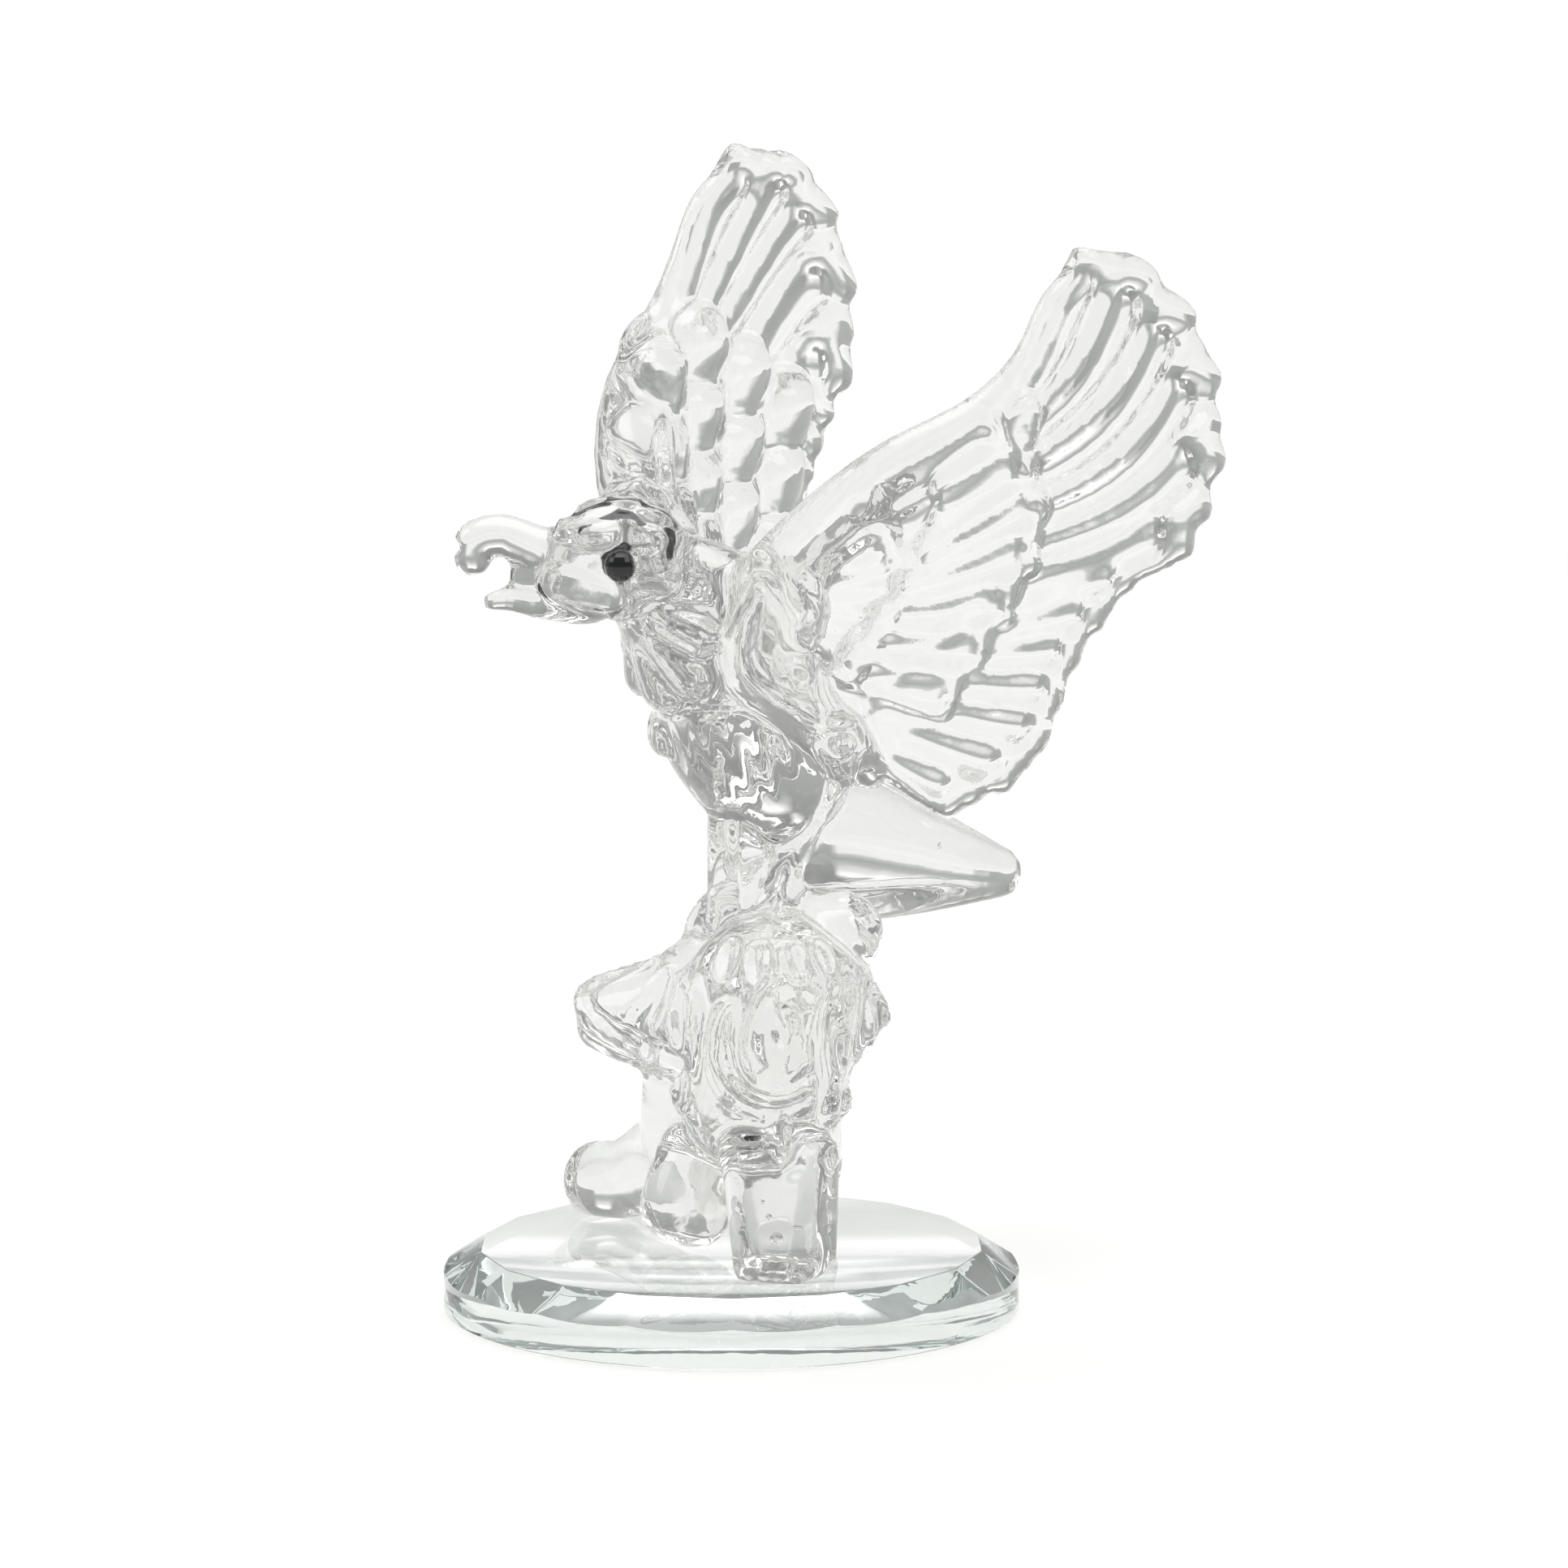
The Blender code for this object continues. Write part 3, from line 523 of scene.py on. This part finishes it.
class Wing:
    """A wing drawn flat, out from its root and up, and rolled along a plan curve that leans back."""

    def __init__(self, side, root, plan, lean, roll, arm, girth, primaries, trailing):
        self.root = figure(*root)
        self.side = side
        self.arm = arm
        self.girth = girth
        self.primaries = primaries
        self.trailing = trailing
        turn = Matrix.Rotation(math.radians(roll), 3, "Y")
        lean = math.radians(lean)
        self.sideways = turn @ Vector((side, 0, 0))
        self.backward = turn @ Vector((0, math.cos(lean), math.sin(lean)))
        self.upward = turn @ Vector((0, -math.sin(lean), math.cos(lean)))
        middle, end = (Vector(p) for p in plan)
        steps = 60
        shares = [i / steps for i in range(steps + 1)]
        self.line = [middle * (2 * s * (1 - s)) + end * (s * s) for s in shares]
        self.lengths = [0.0]
        for a, b in zip(self.line, self.line[1:]):
            self.lengths.append(self.lengths[-1] + (b - a).length)

    def on_plan(self, out):
        """The plan point and its direction at a distance out from the root, straight on past the ends."""
        k = 0
        while k < len(self.line) - 2 and self.lengths[k + 1] < out:
            k += 1
        direction = (self.line[k + 1] - self.line[k]).normalized()
        return self.line[k] + direction * (out - self.lengths[k]), direction

    def point(self, out, up, proud=0.0):
        """A place of the flat pattern, in metres. Proud is its distance from the blade to the outer face."""
        plan, direction = self.on_plan(out)
        plan = plan + Vector((direction.y, -direction.x)) * proud
        return self.root + (self.sideways * plan.x + self.backward * plan.y + self.upward * up) * UNIT

    def normal(self, out):
        """The direction that the outer face looks in."""
        direction = self.on_plan(out)[1]
        return self.sideways * direction.y - self.backward * direction.x

    def add_feather(self, shape, start, end, half_sizes, proud=(0.0, 0.0)):
        """Adds a straight feather from its root to its tip. Proud is given for both."""
        start, end = Vector(start), Vector(end)
        spine = [start, (start + end) / 2, end]

        def centre(t):
            out, up = along(spine, t)
            return self.point(out, up, proud[0] + (proud[1] - proud[0]) * t)

        shape.add_lobe(
            centre,
            lambda t: tuple(along(half_sizes, t) * UNIT),
            lambda t: self.normal(along(spine, t)[0]),
        )


BLADE_ROUNDNESS = 0.45
BLADE_OVERLAP = 1.12
FLUTE_WIDTH = 1.2
FLUTE_TILT = 8
FLUTE_RADIUS = 2.24  # so that a hollow of this width is as wide as its feather at the surface


class Fan:
    """Feathers side by side on a wing. Each lies between two lines that run from root to tip."""

    def __init__(self, wing, lines):
        self.wing = wing
        self.lines = lines
        self.count = len(lines) - 1

    def place(self, share, t):
        """A flat point at a share across the fan and a share along it."""
        return Vector(along([Vector(along(line, t)) for line in self.lines], share))

    def half_width(self, share, t):
        """Half the width of one feather there."""
        step = 0.5 / self.count
        return (self.place(min(share + step, 1), t) - self.place(max(share - step, 0), t)).length / 2

    def add_strip(self, shape, share, start, end, fullness, thickness, proud, tilt=0.0,
                  roundness=END_ROUNDNESS):
        """Adds a lobe along the fan. Its width follows the feather's, and proud and thickness are its own."""
        wing = self.wing

        def reach(t):
            return start + (end - start) * t

        def centre(t):
            out, up = self.place(share, reach(t))
            return wing.point(out, up, along(proud, t))

        def top(t):
            tip = Matrix.Rotation(math.radians(tilt), 3, run_at(centre, t))
            return tip @ wing.normal(self.place(share, reach(t)).x)

        def half_sizes(t):
            return self.half_width(share, reach(t)) * fullness * UNIT, along(thickness, t) * UNIT

        shape.add_lobe(centre, half_sizes, top, roundness)

    def add_blade(self, shape, thickness, proud=(0.0, 0.0), notch=0.05):
        """The sheet that the feathers are pressed in. Its edge dips a little between their tips."""
        middles = [(k + 0.5, 1.0) for k in range(self.count)]
        joins = [(k, 1.0 - notch) for k in range(1, self.count)]
        for place, end in middles + joins:
            self.add_strip(shape, place / self.count, 0.0, end, BLADE_OVERLAP, thickness, proud,
                           roundness=BLADE_ROUNDNESS)

    def cut_flutes(self, hollows, depth, height, faces=(1,), start=0.04, end=0.9):
        """Presses a hollow down each feather, so that a sharp ridge is left between each two."""
        radius = FLUTE_RADIUS * depth
        for face in faces:
            proud = tuple(face * (level + radius - depth) for level in height)
            for k in range(self.count):
                self.add_strip(hollows, (k + 0.5) / self.count, start, end, FLUTE_WIDTH, (radius, radius),
                               proud, tilt=FLUTE_TILT * face * self.wing.side)


def add_blades(shape, hollows, wing):
    """The flight feathers, fluted on both faces: the long ones of the hand and the short ones of the arm."""
    primaries = Fan(wing, wing.primaries)
    primaries.add_blade(shape, (2.0, 2.3, 2.2, 1.6))
    primaries.cut_flutes(hollows, 1.15, (2.05, 2.3, 1.75), faces=(-1, 1))
    count = 7
    inner = [Vector(p) for p in ((20, 18.5), (14, 16), (9, 14), (4, 12.5), (0, 11))]
    outer = [Vector(p) for p in wing.trailing]
    secondaries = Fan(wing, [(along(inner, k / count), along(outer, k / count)) for k in range(count + 1)])
    secondaries.add_blade(shape, (2.1, 2.2, 1.5))
    secondaries.cut_flutes(hollows, 1.0, (2.1, 2.15, 1.5), faces=(-1, 1), start=0.1)


def add_wing(shape, wing):
    """The arm along the leading edge, the sheet under the coverts, and the root that joins the body."""
    arm = [Vector(p) for p in wing.arm]
    shape.add_lobe(
        lambda t: wing.point(*along(arm, t)),
        lambda t: tuple(along(wing.girth, t) * UNIT),
        lambda t: wing.normal(along(arm, t).x),
    )
    blades = 9
    inner = [Vector(p) for p in ((20, 34), (18, 28), (12, 22), (5, 18), (0, 14))]
    outer = [Vector(p) for p in ((29, 35), (30, 26), (26, 19), (17, 10), (4, 5))]
    for k in range(blades):
        t = k / (blades - 1)
        wing.add_feather(shape, along(inner, t), along(outer, t), [(4.2, 1.8), (4.6, 1.8), (4.0, 1.6)])
    wing.add_feather(shape, (-4.5, 17), (3.5, 29), [(4.4, 3.4), (4.6, 3.4), (3.4, 2.8)])
    wing.add_feather(shape, (-3.5, 19.5), (2.6, 31.5), [(2.2, 2.4), (2.8, 2.8), (2.2, 2.2)],
                     proud=(1.8, 1.4))
    for k in range(4):
        wing.add_feather(shape, (-4.5 + 2.5 * k, 17 - 1.5 * k), (-4.5 + 3.0 * k, 5 - 0.6 * k),
                         [(2.0, 2.2), (2.2, 2.2), (1.6, 1.5)], proud=(1.8, 1.0))


def add_coverts(shape, hollows, wing):
    """The outer face: two tiers of fluted coverts that lie on the flight feathers, and the wrist's knob."""
    greater = Fan(wing, (((12, 35.4), (27, 37.4)), ((12, 31.4), (28.4, 33.8)), ((12.4, 26.0), (30.4, 29.0)),
                         ((12, 23.8), (28.8, 24.8)), ((10.8, 22.0), (25.6, 20.2)),
                         ((9.0, 20.0), (21.4, 16.4)), ((7, 18.0), (17.6, 12.4)), ((4.4, 16), (13.2, 8.6))))
    greater.add_blade(shape, (1.5, 1.7, 1.3), proud=(1.5, 1.4), notch=0.1)
    greater.cut_flutes(hollows, 0.95, (3.0, 3.15, 2.6), start=0.16, end=0.93)
    lesser = Fan(wing, (((4.0, 28.6), (13.6, 31.4)), ((4.5, 27.2), (15.2, 28.2)), ((4.8, 26.0), (15.8, 24.6)),
                        ((4.6, 25.0), (14.0, 21.2)), ((4.2, 24.0), (11.6, 18.8)), ((3.4, 23.2), (8.6, 16.8)),
                        ((2.4, 22.6), (5.0, 15.6))))
    lesser.add_blade(shape, (1.6, 1.9, 1.4), proud=(2.3, 2.5), notch=0.14)
    lesser.cut_flutes(hollows, 0.75, (3.9, 4.35, 3.8), start=0.12, end=0.93)
    wing.add_feather(shape, (29.2, 32.6), (31.2, 37.6), [(1.3, 1.0), (2.0, 1.4), (1.4, 1.0)],
                     proud=(1.9, 1.9))


def add_scales(shape, wing):
    """The inner face: rows of broad round-topped scales, each of which laps the foot of the one above it."""
    rows, across, step_up, step_out = 6, 6, 6.2, 8.2
    for row in range(rows):
        up = 0.5 + step_up * row
        for k in range(across):
            out = 0.8 + step_out * (k + 0.5 * (row % 2))
            below_the_arm = up + 4 < min(20 + 0.8 * out, 38)
            if below_the_arm and out < 40 - 0.4 * abs(up - 18) and out - up < 26:
                wing.add_feather(shape, (out - 1.8, up - 4.8), (out + 1.6, up + 4.8),
                                 [(3.5, 2.4), (4.3, 3.2), (4.3, 2.7)], proud=(1.0, -3.1))


def make_wings():
    """Both wings are raised. The right one, which the head is turned to, stands higher."""
    left = Wing(
        side=1, root=(7.0, 9.9, 44.3), plan=((21, 14.5), (21, 42.5)), lean=25, roll=0,
        arm=[(-4, 18), (-0.4, 25.8), (7.4, 31.4), (16.6, 35.2), (26.5, 36.6), (33.4, 39.6), (38.8, 44.2),
             (44.8, 45.4)],
        girth=[(4.4, 3.2), (4.0, 3.0), (3.5, 2.7), (3.1, 2.4), (2.6, 2.1), (2.0, 1.7), (1.7, 1.5),
               (1.5, 1.4)],
        primaries=[[(27.0, 37.6), (33.6, 40.2), (38.8, 44.4), (43.0, 46.6)],
                   [(29.5, 34.2), (36.5, 36.6), (42.6, 41.0), (47.8, 46.0)],
                   [(28.5, 30.4), (37.0, 31.8), (45.0, 35.0), (52.2, 40.6)],
                   [(27.5, 26.2), (37.0, 26.2), (46.0, 29.0), (54.4, 34.4)],
                   [(26.5, 22.9), (36.5, 22.0), (45.5, 23.2), (53.8, 26.8)],
                   [(24.5, 20.4), (33.5, 18.8), (41.5, 18.2), (49.8, 19.4)],
                   [(20.0, 17.8), (29.0, 16.4), (35.5, 15.4), (41.6, 15.2)]],
        trailing=[(38.5, 14.6), (31.4, 11.6), (25.8, 6.0), (20.2, -0.2), (10.0, -1.8)],
    )
    right = Wing(
        side=-1, root=(-7.4, 6.9, 51.5), plan=((21.5, 5.5), (17, 39)), lean=28, roll=6,
        arm=[(-2.4, 14.4), (3, 21), (10.8, 26.8), (19.4, 32.0), (28.5, 36.4), (34.0, 40.6), (38.8, 44.8),
             (44.5, 46.2)],
        girth=[(5.6, 4.4), (5.6, 4.4), (5.2, 3.8), (4.4, 3.0), (2.6, 2.1), (2.0, 1.7), (1.9, 1.6),
               (1.7, 1.4)],
        primaries=[[(27.0, 37.0), (33.0, 40.4), (38.4, 45.0), (43.8, 47.6)],
                   [(29.0, 32.6), (36.4, 37.0), (42.6, 41.4), (49.4, 46.2)],
                   [(30.0, 29.2), (38.0, 33.8), (45.2, 37.8), (52.4, 41.2)],
                   [(31.0, 25.4), (38.6, 29.4), (46.2, 33.0), (53.2, 35.2)],
                   [(31.0, 20.6), (38.4, 22.8), (45.2, 25.6), (51.8, 26.4)],
                   [(29.0, 16.8), (35.6, 17.6), (41.8, 18.4), (47.4, 18.2)]],
        trailing=[(46.4, 17.0), (42.0, 13.2), (38.4, 8.6), (32.0, 2.0), (17, -1.8)],
    )
    return left, right


def add_tail(shape):
    """The tail: a deep wedge that runs straight back, with rims along its foot and ridged feathers on top."""
    add_limb(shape, [(0, 5, 43), (0, 15, 41.2), (0, 24, 38.8), (0, 33, 36.5), (0, 39.5, 35.0)],
             [(6.0, 7.5), (6.2, 6.9), (5.6, 5.0), (4.4, 3.2), (2.6, 1.9)])
    for side in (-1, 1):
        add_limb(shape, [(4.4 * side, 5, 34.6), (4.2 * side, 21, 34.3), (1.5 * side, 38, 34.3)],
                 [1.7, 1.7, 1.5])
        add_limb(shape, [(3.0 * side, 8, 47), (3.2 * side, 22, 42.3), (1.5 * side, 38, 36.3)],
                 [(1.6, 1.2), (1.9, 1.4), (1.4, 1.0)])
    add_limb(shape, [(0, 8, 49), (0, 22, 44.5), (0, 39.5, 36.2)], [(1.7, 1.2), (2.1, 1.4), (1.6, 1.1)])


def add_claws(shape):
    """Each foot grips the stump with three toes in front and one behind."""
    for side in (-1, 1):
        ankle = Vector((4.2 * side, 4.4, 35.5))
        leg = [ankle + Vector((-1.6 * side, 0, 3.5)), ankle, ankle - Vector((0, 0, 4))]
        add_limb(shape, leg, [1.6, 2.2, 2.6])
        for toe_turn in (-34, 0, 34, 180):
            turn = math.radians(toe_turn)
            out = Vector((math.sin(turn), -math.cos(turn), 0))
            toe = [ankle + out * reach - Vector((0, 0, drop))
                   for reach, drop in ((0, 0), (2.3, 1.2), (4.2, 3.6), (5.0, 6.0))]
            add_limb(shape, toe, [1.6, 1.8, 1.5, 0.9])


TRUNK = [(2.5, 3.5, 33.5), (6.0, 0.8, 25), (7.6, -2.0, 18), (10.4, -4.2, 10.5)]
FOOT = [(11.2, -4.9, 16), (13.0, -5.4, 9), (14.6, -5.2, 3), (15.2, -5.0, -1)]
FOOT_BOTTOM, FOOT_TOP = Vector((15.9, -6.2, -1.0)), Vector((12.6, -4.2, 13.5))
FOOT_HALF_BOTTOM, FOOT_HALF_TOP = (4.2, 5.4), (6.0, 3.6)
FOOT_ACROSS = Vector((0.866, 0.5, 0))
FOOT_FACING = Vector((0.5, -0.866, 0))
TOWARDS = Vector((0.766, -0.643, 0))
SIDEWAYS = Vector((0.643, 0.766, 0))
PANEL_FROM, PANEL_TO = 0.12, 0.8  # shares of the foot's height
PANEL_FORWARD = (3.7, 2.4)  # from the foot's middle to the panel's, at its bottom and its top
BARK_HEIGHTS = (29.0, 25.4, 21.8, 18.2, 15.0)
BARK_WAVE = 4.0
KNOT_TURN, KNOT_SPREAD = 320, 34


def add_stump(shape):
    """The tree stump: two columns, a cut branch, lumps under the claws, splayed roots and a squared foot."""
    limbs = [
        (TRUNK, [8.8, 9.8, 9.0, 7.4]),
        ([(-3.8, 1, 30.6), (-5, 1, 23), (-6.5, 0, 15), (-8, 1, 8)], [7.7, 6.2, 5.2, 5.4]),
        ([(-8, 0, 9), (-15, -1, 4.6), (-23.2, -1.5, 3.0)], [5.0, 4.4, (4.2, 4.3)]),
        ([(0, -2, 12), (0.6, -5.5, 7), (1.2, -8.6, 1)], [5.0, 4.9, 4.8]),
        ([(1, 6, 24), (-1, 9, 13), (-4, 13, 3)], [7.0, 5.4, 4.6]),
        ([(-2, 0, 24), (-9.0, -4, 22.6), (-14.6, -8.9, 22.8)], [6.0, 5.4, 2.6]),
        ([(6, 6, 31), (8.4, 7.6, 32.6), (7.5, 11.5, 33.5)], [6.5, 4.8, 3.2]),
        ([(9, 2, 27), (11, 4, 24), (10, 3, 20)], [4.6, 5.4, 4.6]),
    ]
    for points, radii in limbs:
        add_limb(shape, points, radii, top=(0.3, 1, 0))
    add_limb(shape, FOOT, [(7.4, 6.0), (4.8, 4.2), (3.2, 3.4), (2.6, 2.8)], top=TOWARDS)
    add_block(shape, FOOT_BOTTOM, FOOT_TOP, FOOT_HALF_BOTTOM, FOOT_HALF_TOP, FOOT_ACROSS, 2.0)
    low = FOOT_BOTTOM.lerp(FOOT_TOP, PANEL_FROM) + FOOT_FACING * PANEL_FORWARD[0]
    high = FOOT_BOTTOM.lerp(FOOT_TOP, PANEL_TO) + FOOT_FACING * PANEL_FORWARD[1]
    add_block(shape, low, high, (2.9, 2.2), (4.4, 2.2), FOOT_ACROSS, 0.8)
    lumps = 6
    for k in range(lumps):
        turn = math.radians(215 + 36 * k)
        centre = Vector((1.5 + 6.6 * math.cos(turn), 3 + 5.4 * math.sin(turn), 29.5 - 1.6 * (k % 2)))
        add_limb(shape, [centre - Vector((0, 0, 1.6)), centre + Vector((0, 0, 1.6))], [2.9, 2.7])


def carve_stump(shape, hollows, skin):
    """The bark: a knot with its swirl, creases under the claws, and wavy ridges with hollows between."""
    def front(spine, across, height, proud=0.0):
        """A point of the face that a limb turns to the front, at a distance across it and a height."""
        share = (spine[0][2] - height) / (spine[0][2] - spine[-1][2])
        axis = along(spine, share)
        return skin.meet(Vector((axis.x, axis.y, height)) + SIDEWAYS * across, TOWARDS, proud)

    def arc(target, middle, radii, start, sweep, rim, proud=0.0):
        """A rim that runs round part of an oval on the trunk."""
        steps = 10
        turns = [math.radians(start + sweep * k / (steps - 1)) for k in range(steps)]
        path = [front(TRUNK, middle[0] + radii[0] * math.cos(turn),
                      middle[1] + radii[1] * math.sin(turn), proud) for turn in turns]
        add_limb(target, path, [0.6 * rim] + [rim] * (steps - 2) + [0.6 * rim], top=TOWARDS)

    arc(shape, (0.9, 23.6), (6.4, 6.8), 150, 170, 1.2)
    arc(shape, (1.4, 24.6), (3.8, 4.5), -70, 310, 1.0)
    arc(hollows, (1.2, 24.2), (5.2, 5.7), 130, 230, 1.1, proud=0.5)
    knot_eye = [front(TRUNK, across, height, proud)
                for across, height, proud in ((0.4, 26.6, 0.9), (1.6, 24.4, 0.8), (1.4, 22.4, 0.9))]
    add_limb(hollows, knot_eye, [(1.4, 1.3), (2.0, 1.5), (1.2, 1.2)], top=TOWARDS)
    swirl_end = [front(TRUNK, 1.2, 17.5), front(FOOT, 1.0, 13), front(FOOT, 0.6, 10.8)]
    add_limb(shape, swirl_end, [0.8, 0.9, 0.6], top=TOWARDS)
    for across, lean in ((-4.4, -1.4), (-1.6, -0.4), (1.6, 0.8), (4.4, 1.6)):
        path = [front(TRUNK, across + share * lean, 33.2 - 4.2 * share, proud)
                for share, proud in ((0, 0.7), (0.45, 0.5), (1, 0.8))]
        add_limb(hollows, path, [0.9, 1.3, 0.8], top=TOWARDS)
    ridges = 16
    for k in range(2 * ridges):
        turn = 360 * k / (2 * ridges) + 8
        if abs(turn - KNOT_TURN) < KNOT_SPREAD:
            continue
        is_hollow = k % 2 == 1
        path = []
        for step, height in enumerate(BARK_HEIGHTS):
            swing = math.radians(turn + BARK_WAVE * math.sin(1.9 * step + 2.3 * k))
            axis = along(TRUNK, (TRUNK[0][2] - height) / (TRUNK[0][2] - TRUNK[-1][2]))
            path.append(skin.meet((0.6 * axis.x, 0.6 * axis.y, height), (math.cos(swing), math.sin(swing), 0),
                                  0.8 if is_hollow else 0.3))
        if is_hollow:
            add_limb(hollows, path, [1.0, 1.8, 2.0, 1.8, 1.0], top=TOWARDS)
        else:
            add_limb(shape, path, [0.6, 0.9, 1.0, 0.9, 0.6], top=TOWARDS)


def pressed(shape, hollows):
    """The skin of the fused lobes, with the hollows pressed into it."""
    pieces = []
    for name, lobes in (("crystal_eagle", shape), ("hollows", hollows)):
        piece = bpy.data.objects.new(name, lobes.mesh(name))
        bpy.context.scene.collection.objects.link(piece)
        fuse = piece.modifiers.new("Fuse", "REMESH")
        fuse.mode = "VOXEL"
        fuse.voxel_size = MOULD_DETAIL
        pieces.append(piece)
    press = pieces[0].modifiers.new("Press", "BOOLEAN")
    press.operation = "DIFFERENCE"
    press.solver = "MANIFOLD"
    press.object = pieces[1]
    skin = bpy.data.meshes.new_from_object(pieces[0].evaluated_get(bpy.context.evaluated_depsgraph_get()))
    for piece in pieces:
        bpy.data.objects.remove(piece)
    return skin


left_wing, right_wing = make_wings()
blades, flutes = Shape(), Shape()
for wing in (left_wing, right_wing):
    add_blades(blades, flutes, wing)
gathered, hollows = Shape(), Shape()
gathered.add_skin(pressed(blades, flutes))
for wing in (left_wing, right_wing):
    add_wing(gathered, wing)
add_coverts(gathered, hollows, left_wing)
add_scales(gathered, right_wing)
for add in (add_body, add_head, add_tail, add_claws, add_stump):
    add(gathered)
skin = Skin(pressed(gathered, hollows))
add_breast(gathered, hollows, skin)
add_crown(gathered, skin)
carve_stump(gathered, hollows, skin)

casting = bpy.data.objects.new("crystal_eagle", pressed(gathered, hollows))
bpy.context.scene.collection.objects.link(casting)
settle = casting.modifiers.new("Settle", "REMESH")
settle.mode = "VOXEL"
settle.voxel_size = MOULD_DETAIL
settle.use_smooth_shade = True
fire_polish = casting.modifiers.new("FirePolish", "SMOOTH")
fire_polish.factor = 0.5
fire_polish.iterations = FIRE_POLISH_PASSES


def flat_foot(shape_object, height):
    """Cuts the casting flat where it is glued to the plate."""
    depsgraph = bpy.context.evaluated_depsgraph_get()
    cooked = bpy.data.meshes.new_from_object(shape_object.evaluated_get(depsgraph))
    draft = bmesh.new()
    draft.from_mesh(cooked)
    cut = bmesh.ops.bisect_plane(draft, geom=draft.verts[:] + draft.edges[:] + draft.faces[:],
                                 plane_co=(0, 0, height), plane_no=(0, 0, -1), clear_outer=True)
    rim = [edge for edge in cut["geom_cut"] if isinstance(edge, bmesh.types.BMEdge)]
    soles = bmesh.ops.triangle_fill(draft, edges=rim, use_beauty=True)
    for face in soles["geom"]:
        if isinstance(face, bmesh.types.BMFace):
            face.smooth = False
    bmesh.ops.recalc_face_normals(draft, faces=draft.faces)
    draft.to_mesh(cooked)
    draft.free()
    cooked.materials.clear()  # pressing leaves an empty slot, which would take the glass's place
    shape_object.modifiers.clear()
    shape_object.data = cooked


def seal_bubbles(mesh, bubbles):
    """Adds air bubbles, which are closed skins that face inwards."""
    draft = bmesh.new()
    draft.from_mesh(mesh)
    for place, radius in bubbles:
        made = bmesh.ops.create_icosphere(draft, subdivisions=3, radius=radius * UNIT,
                                          matrix=Matrix.Translation(figure(*place)))
        faces = list({face for vertex in made["verts"] for face in vertex.link_faces})
        bmesh.ops.reverse_faces(draft, faces=faces)
        for face in faces:
            face.smooth = True
    draft.to_mesh(mesh)
    draft.free()


BUBBLES = (  # centre and radius, in figure units
    ((16.4, -7.4, 3.6), 0.70),
    ((15.6, -7.8, 5.8), 0.35),
    ((17.4, -6.2, 4.8), 0.28),
    ((14.6, -7.8, 7.2), 0.24),
    ((2.5, -3.2, 51.5), 0.38),
    ((3.6, -2.4, 52.6), 0.22),
    ((9.0, -3.8, 20.0), 0.34),
    ((5.5, -2.6, 26.0), 0.28),
    ((1.0, 26.0, 39.0), 0.28),
)
flat_foot(casting, FOOT_HEIGHT)
seal_bubbles(casting.data, BUBBLES)

# Cast crystal, fire polished, is clear and looks wet. Its faint ripple bends what is seen through it, and its
# thick parts are a little grey.
crystal, tree = new_material("cast_crystal")
ripple = polish_bump(tree, FIRE_POLISH_RIPPLE, FIRE_POLISH_RIPPLE_HEIGHT)
fill_with_glass(tree, "#f1f1f0", ripple, tint="#86816f", density=4.0)
casting.data.materials.append(crystal)
casting.visible_shadow = False
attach(casting, "root")
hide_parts("eagle_casting")


# The eyes
# Two beads of lamp worked black glass are set in the head. They are glossy, with a faint ripple, and with
# small clouds that are a little less black and less glossy.
EYE_RIPPLE, EYE_RIPPLE_HEIGHT = 0.0006, 0.00001
EYE_CLOUDS = 0.0005
black_glass, tree = new_material("black_glass")
place = add_node(tree, "ShaderNodeTexCoord").outputs["Object"]
cloud = add_node(tree, "ShaderNodeTexNoise", {"Scale": 1 / EYE_CLOUDS, "Detail": 3.0}, {"Vector": place})
shade = add_node(tree, "ShaderNodeValToRGB", {"stops": ((0.0, "#050506"), (1.0, "#17181a"))},
                 {"Fac": cloud.outputs["Fac"]})
gloss = add_node(tree, "ShaderNodeMapRange", {"To Min": 0.03, "To Max": 0.10},
                 {"Value": cloud.outputs["Fac"]})
shader = add_node(tree, "ShaderNodeBsdfPrincipled", {"IOR": GLASS_IOR, "Specular IOR Level": 0.5},
                  {"Base Color": shade.outputs["Color"], "Roughness": gloss.outputs["Result"],
                   "Normal": polish_bump(tree, EYE_RIPPLE, EYE_RIPPLE_HEIGHT)})
add_node(tree, "ShaderNodeOutputMaterial", links={"Surface": shader.outputs["BSDF"]})
for name in ("left_eye", "right_eye"):
    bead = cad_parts[name]
    bead.data.materials.clear()
    bead.data.materials.append(black_glass)
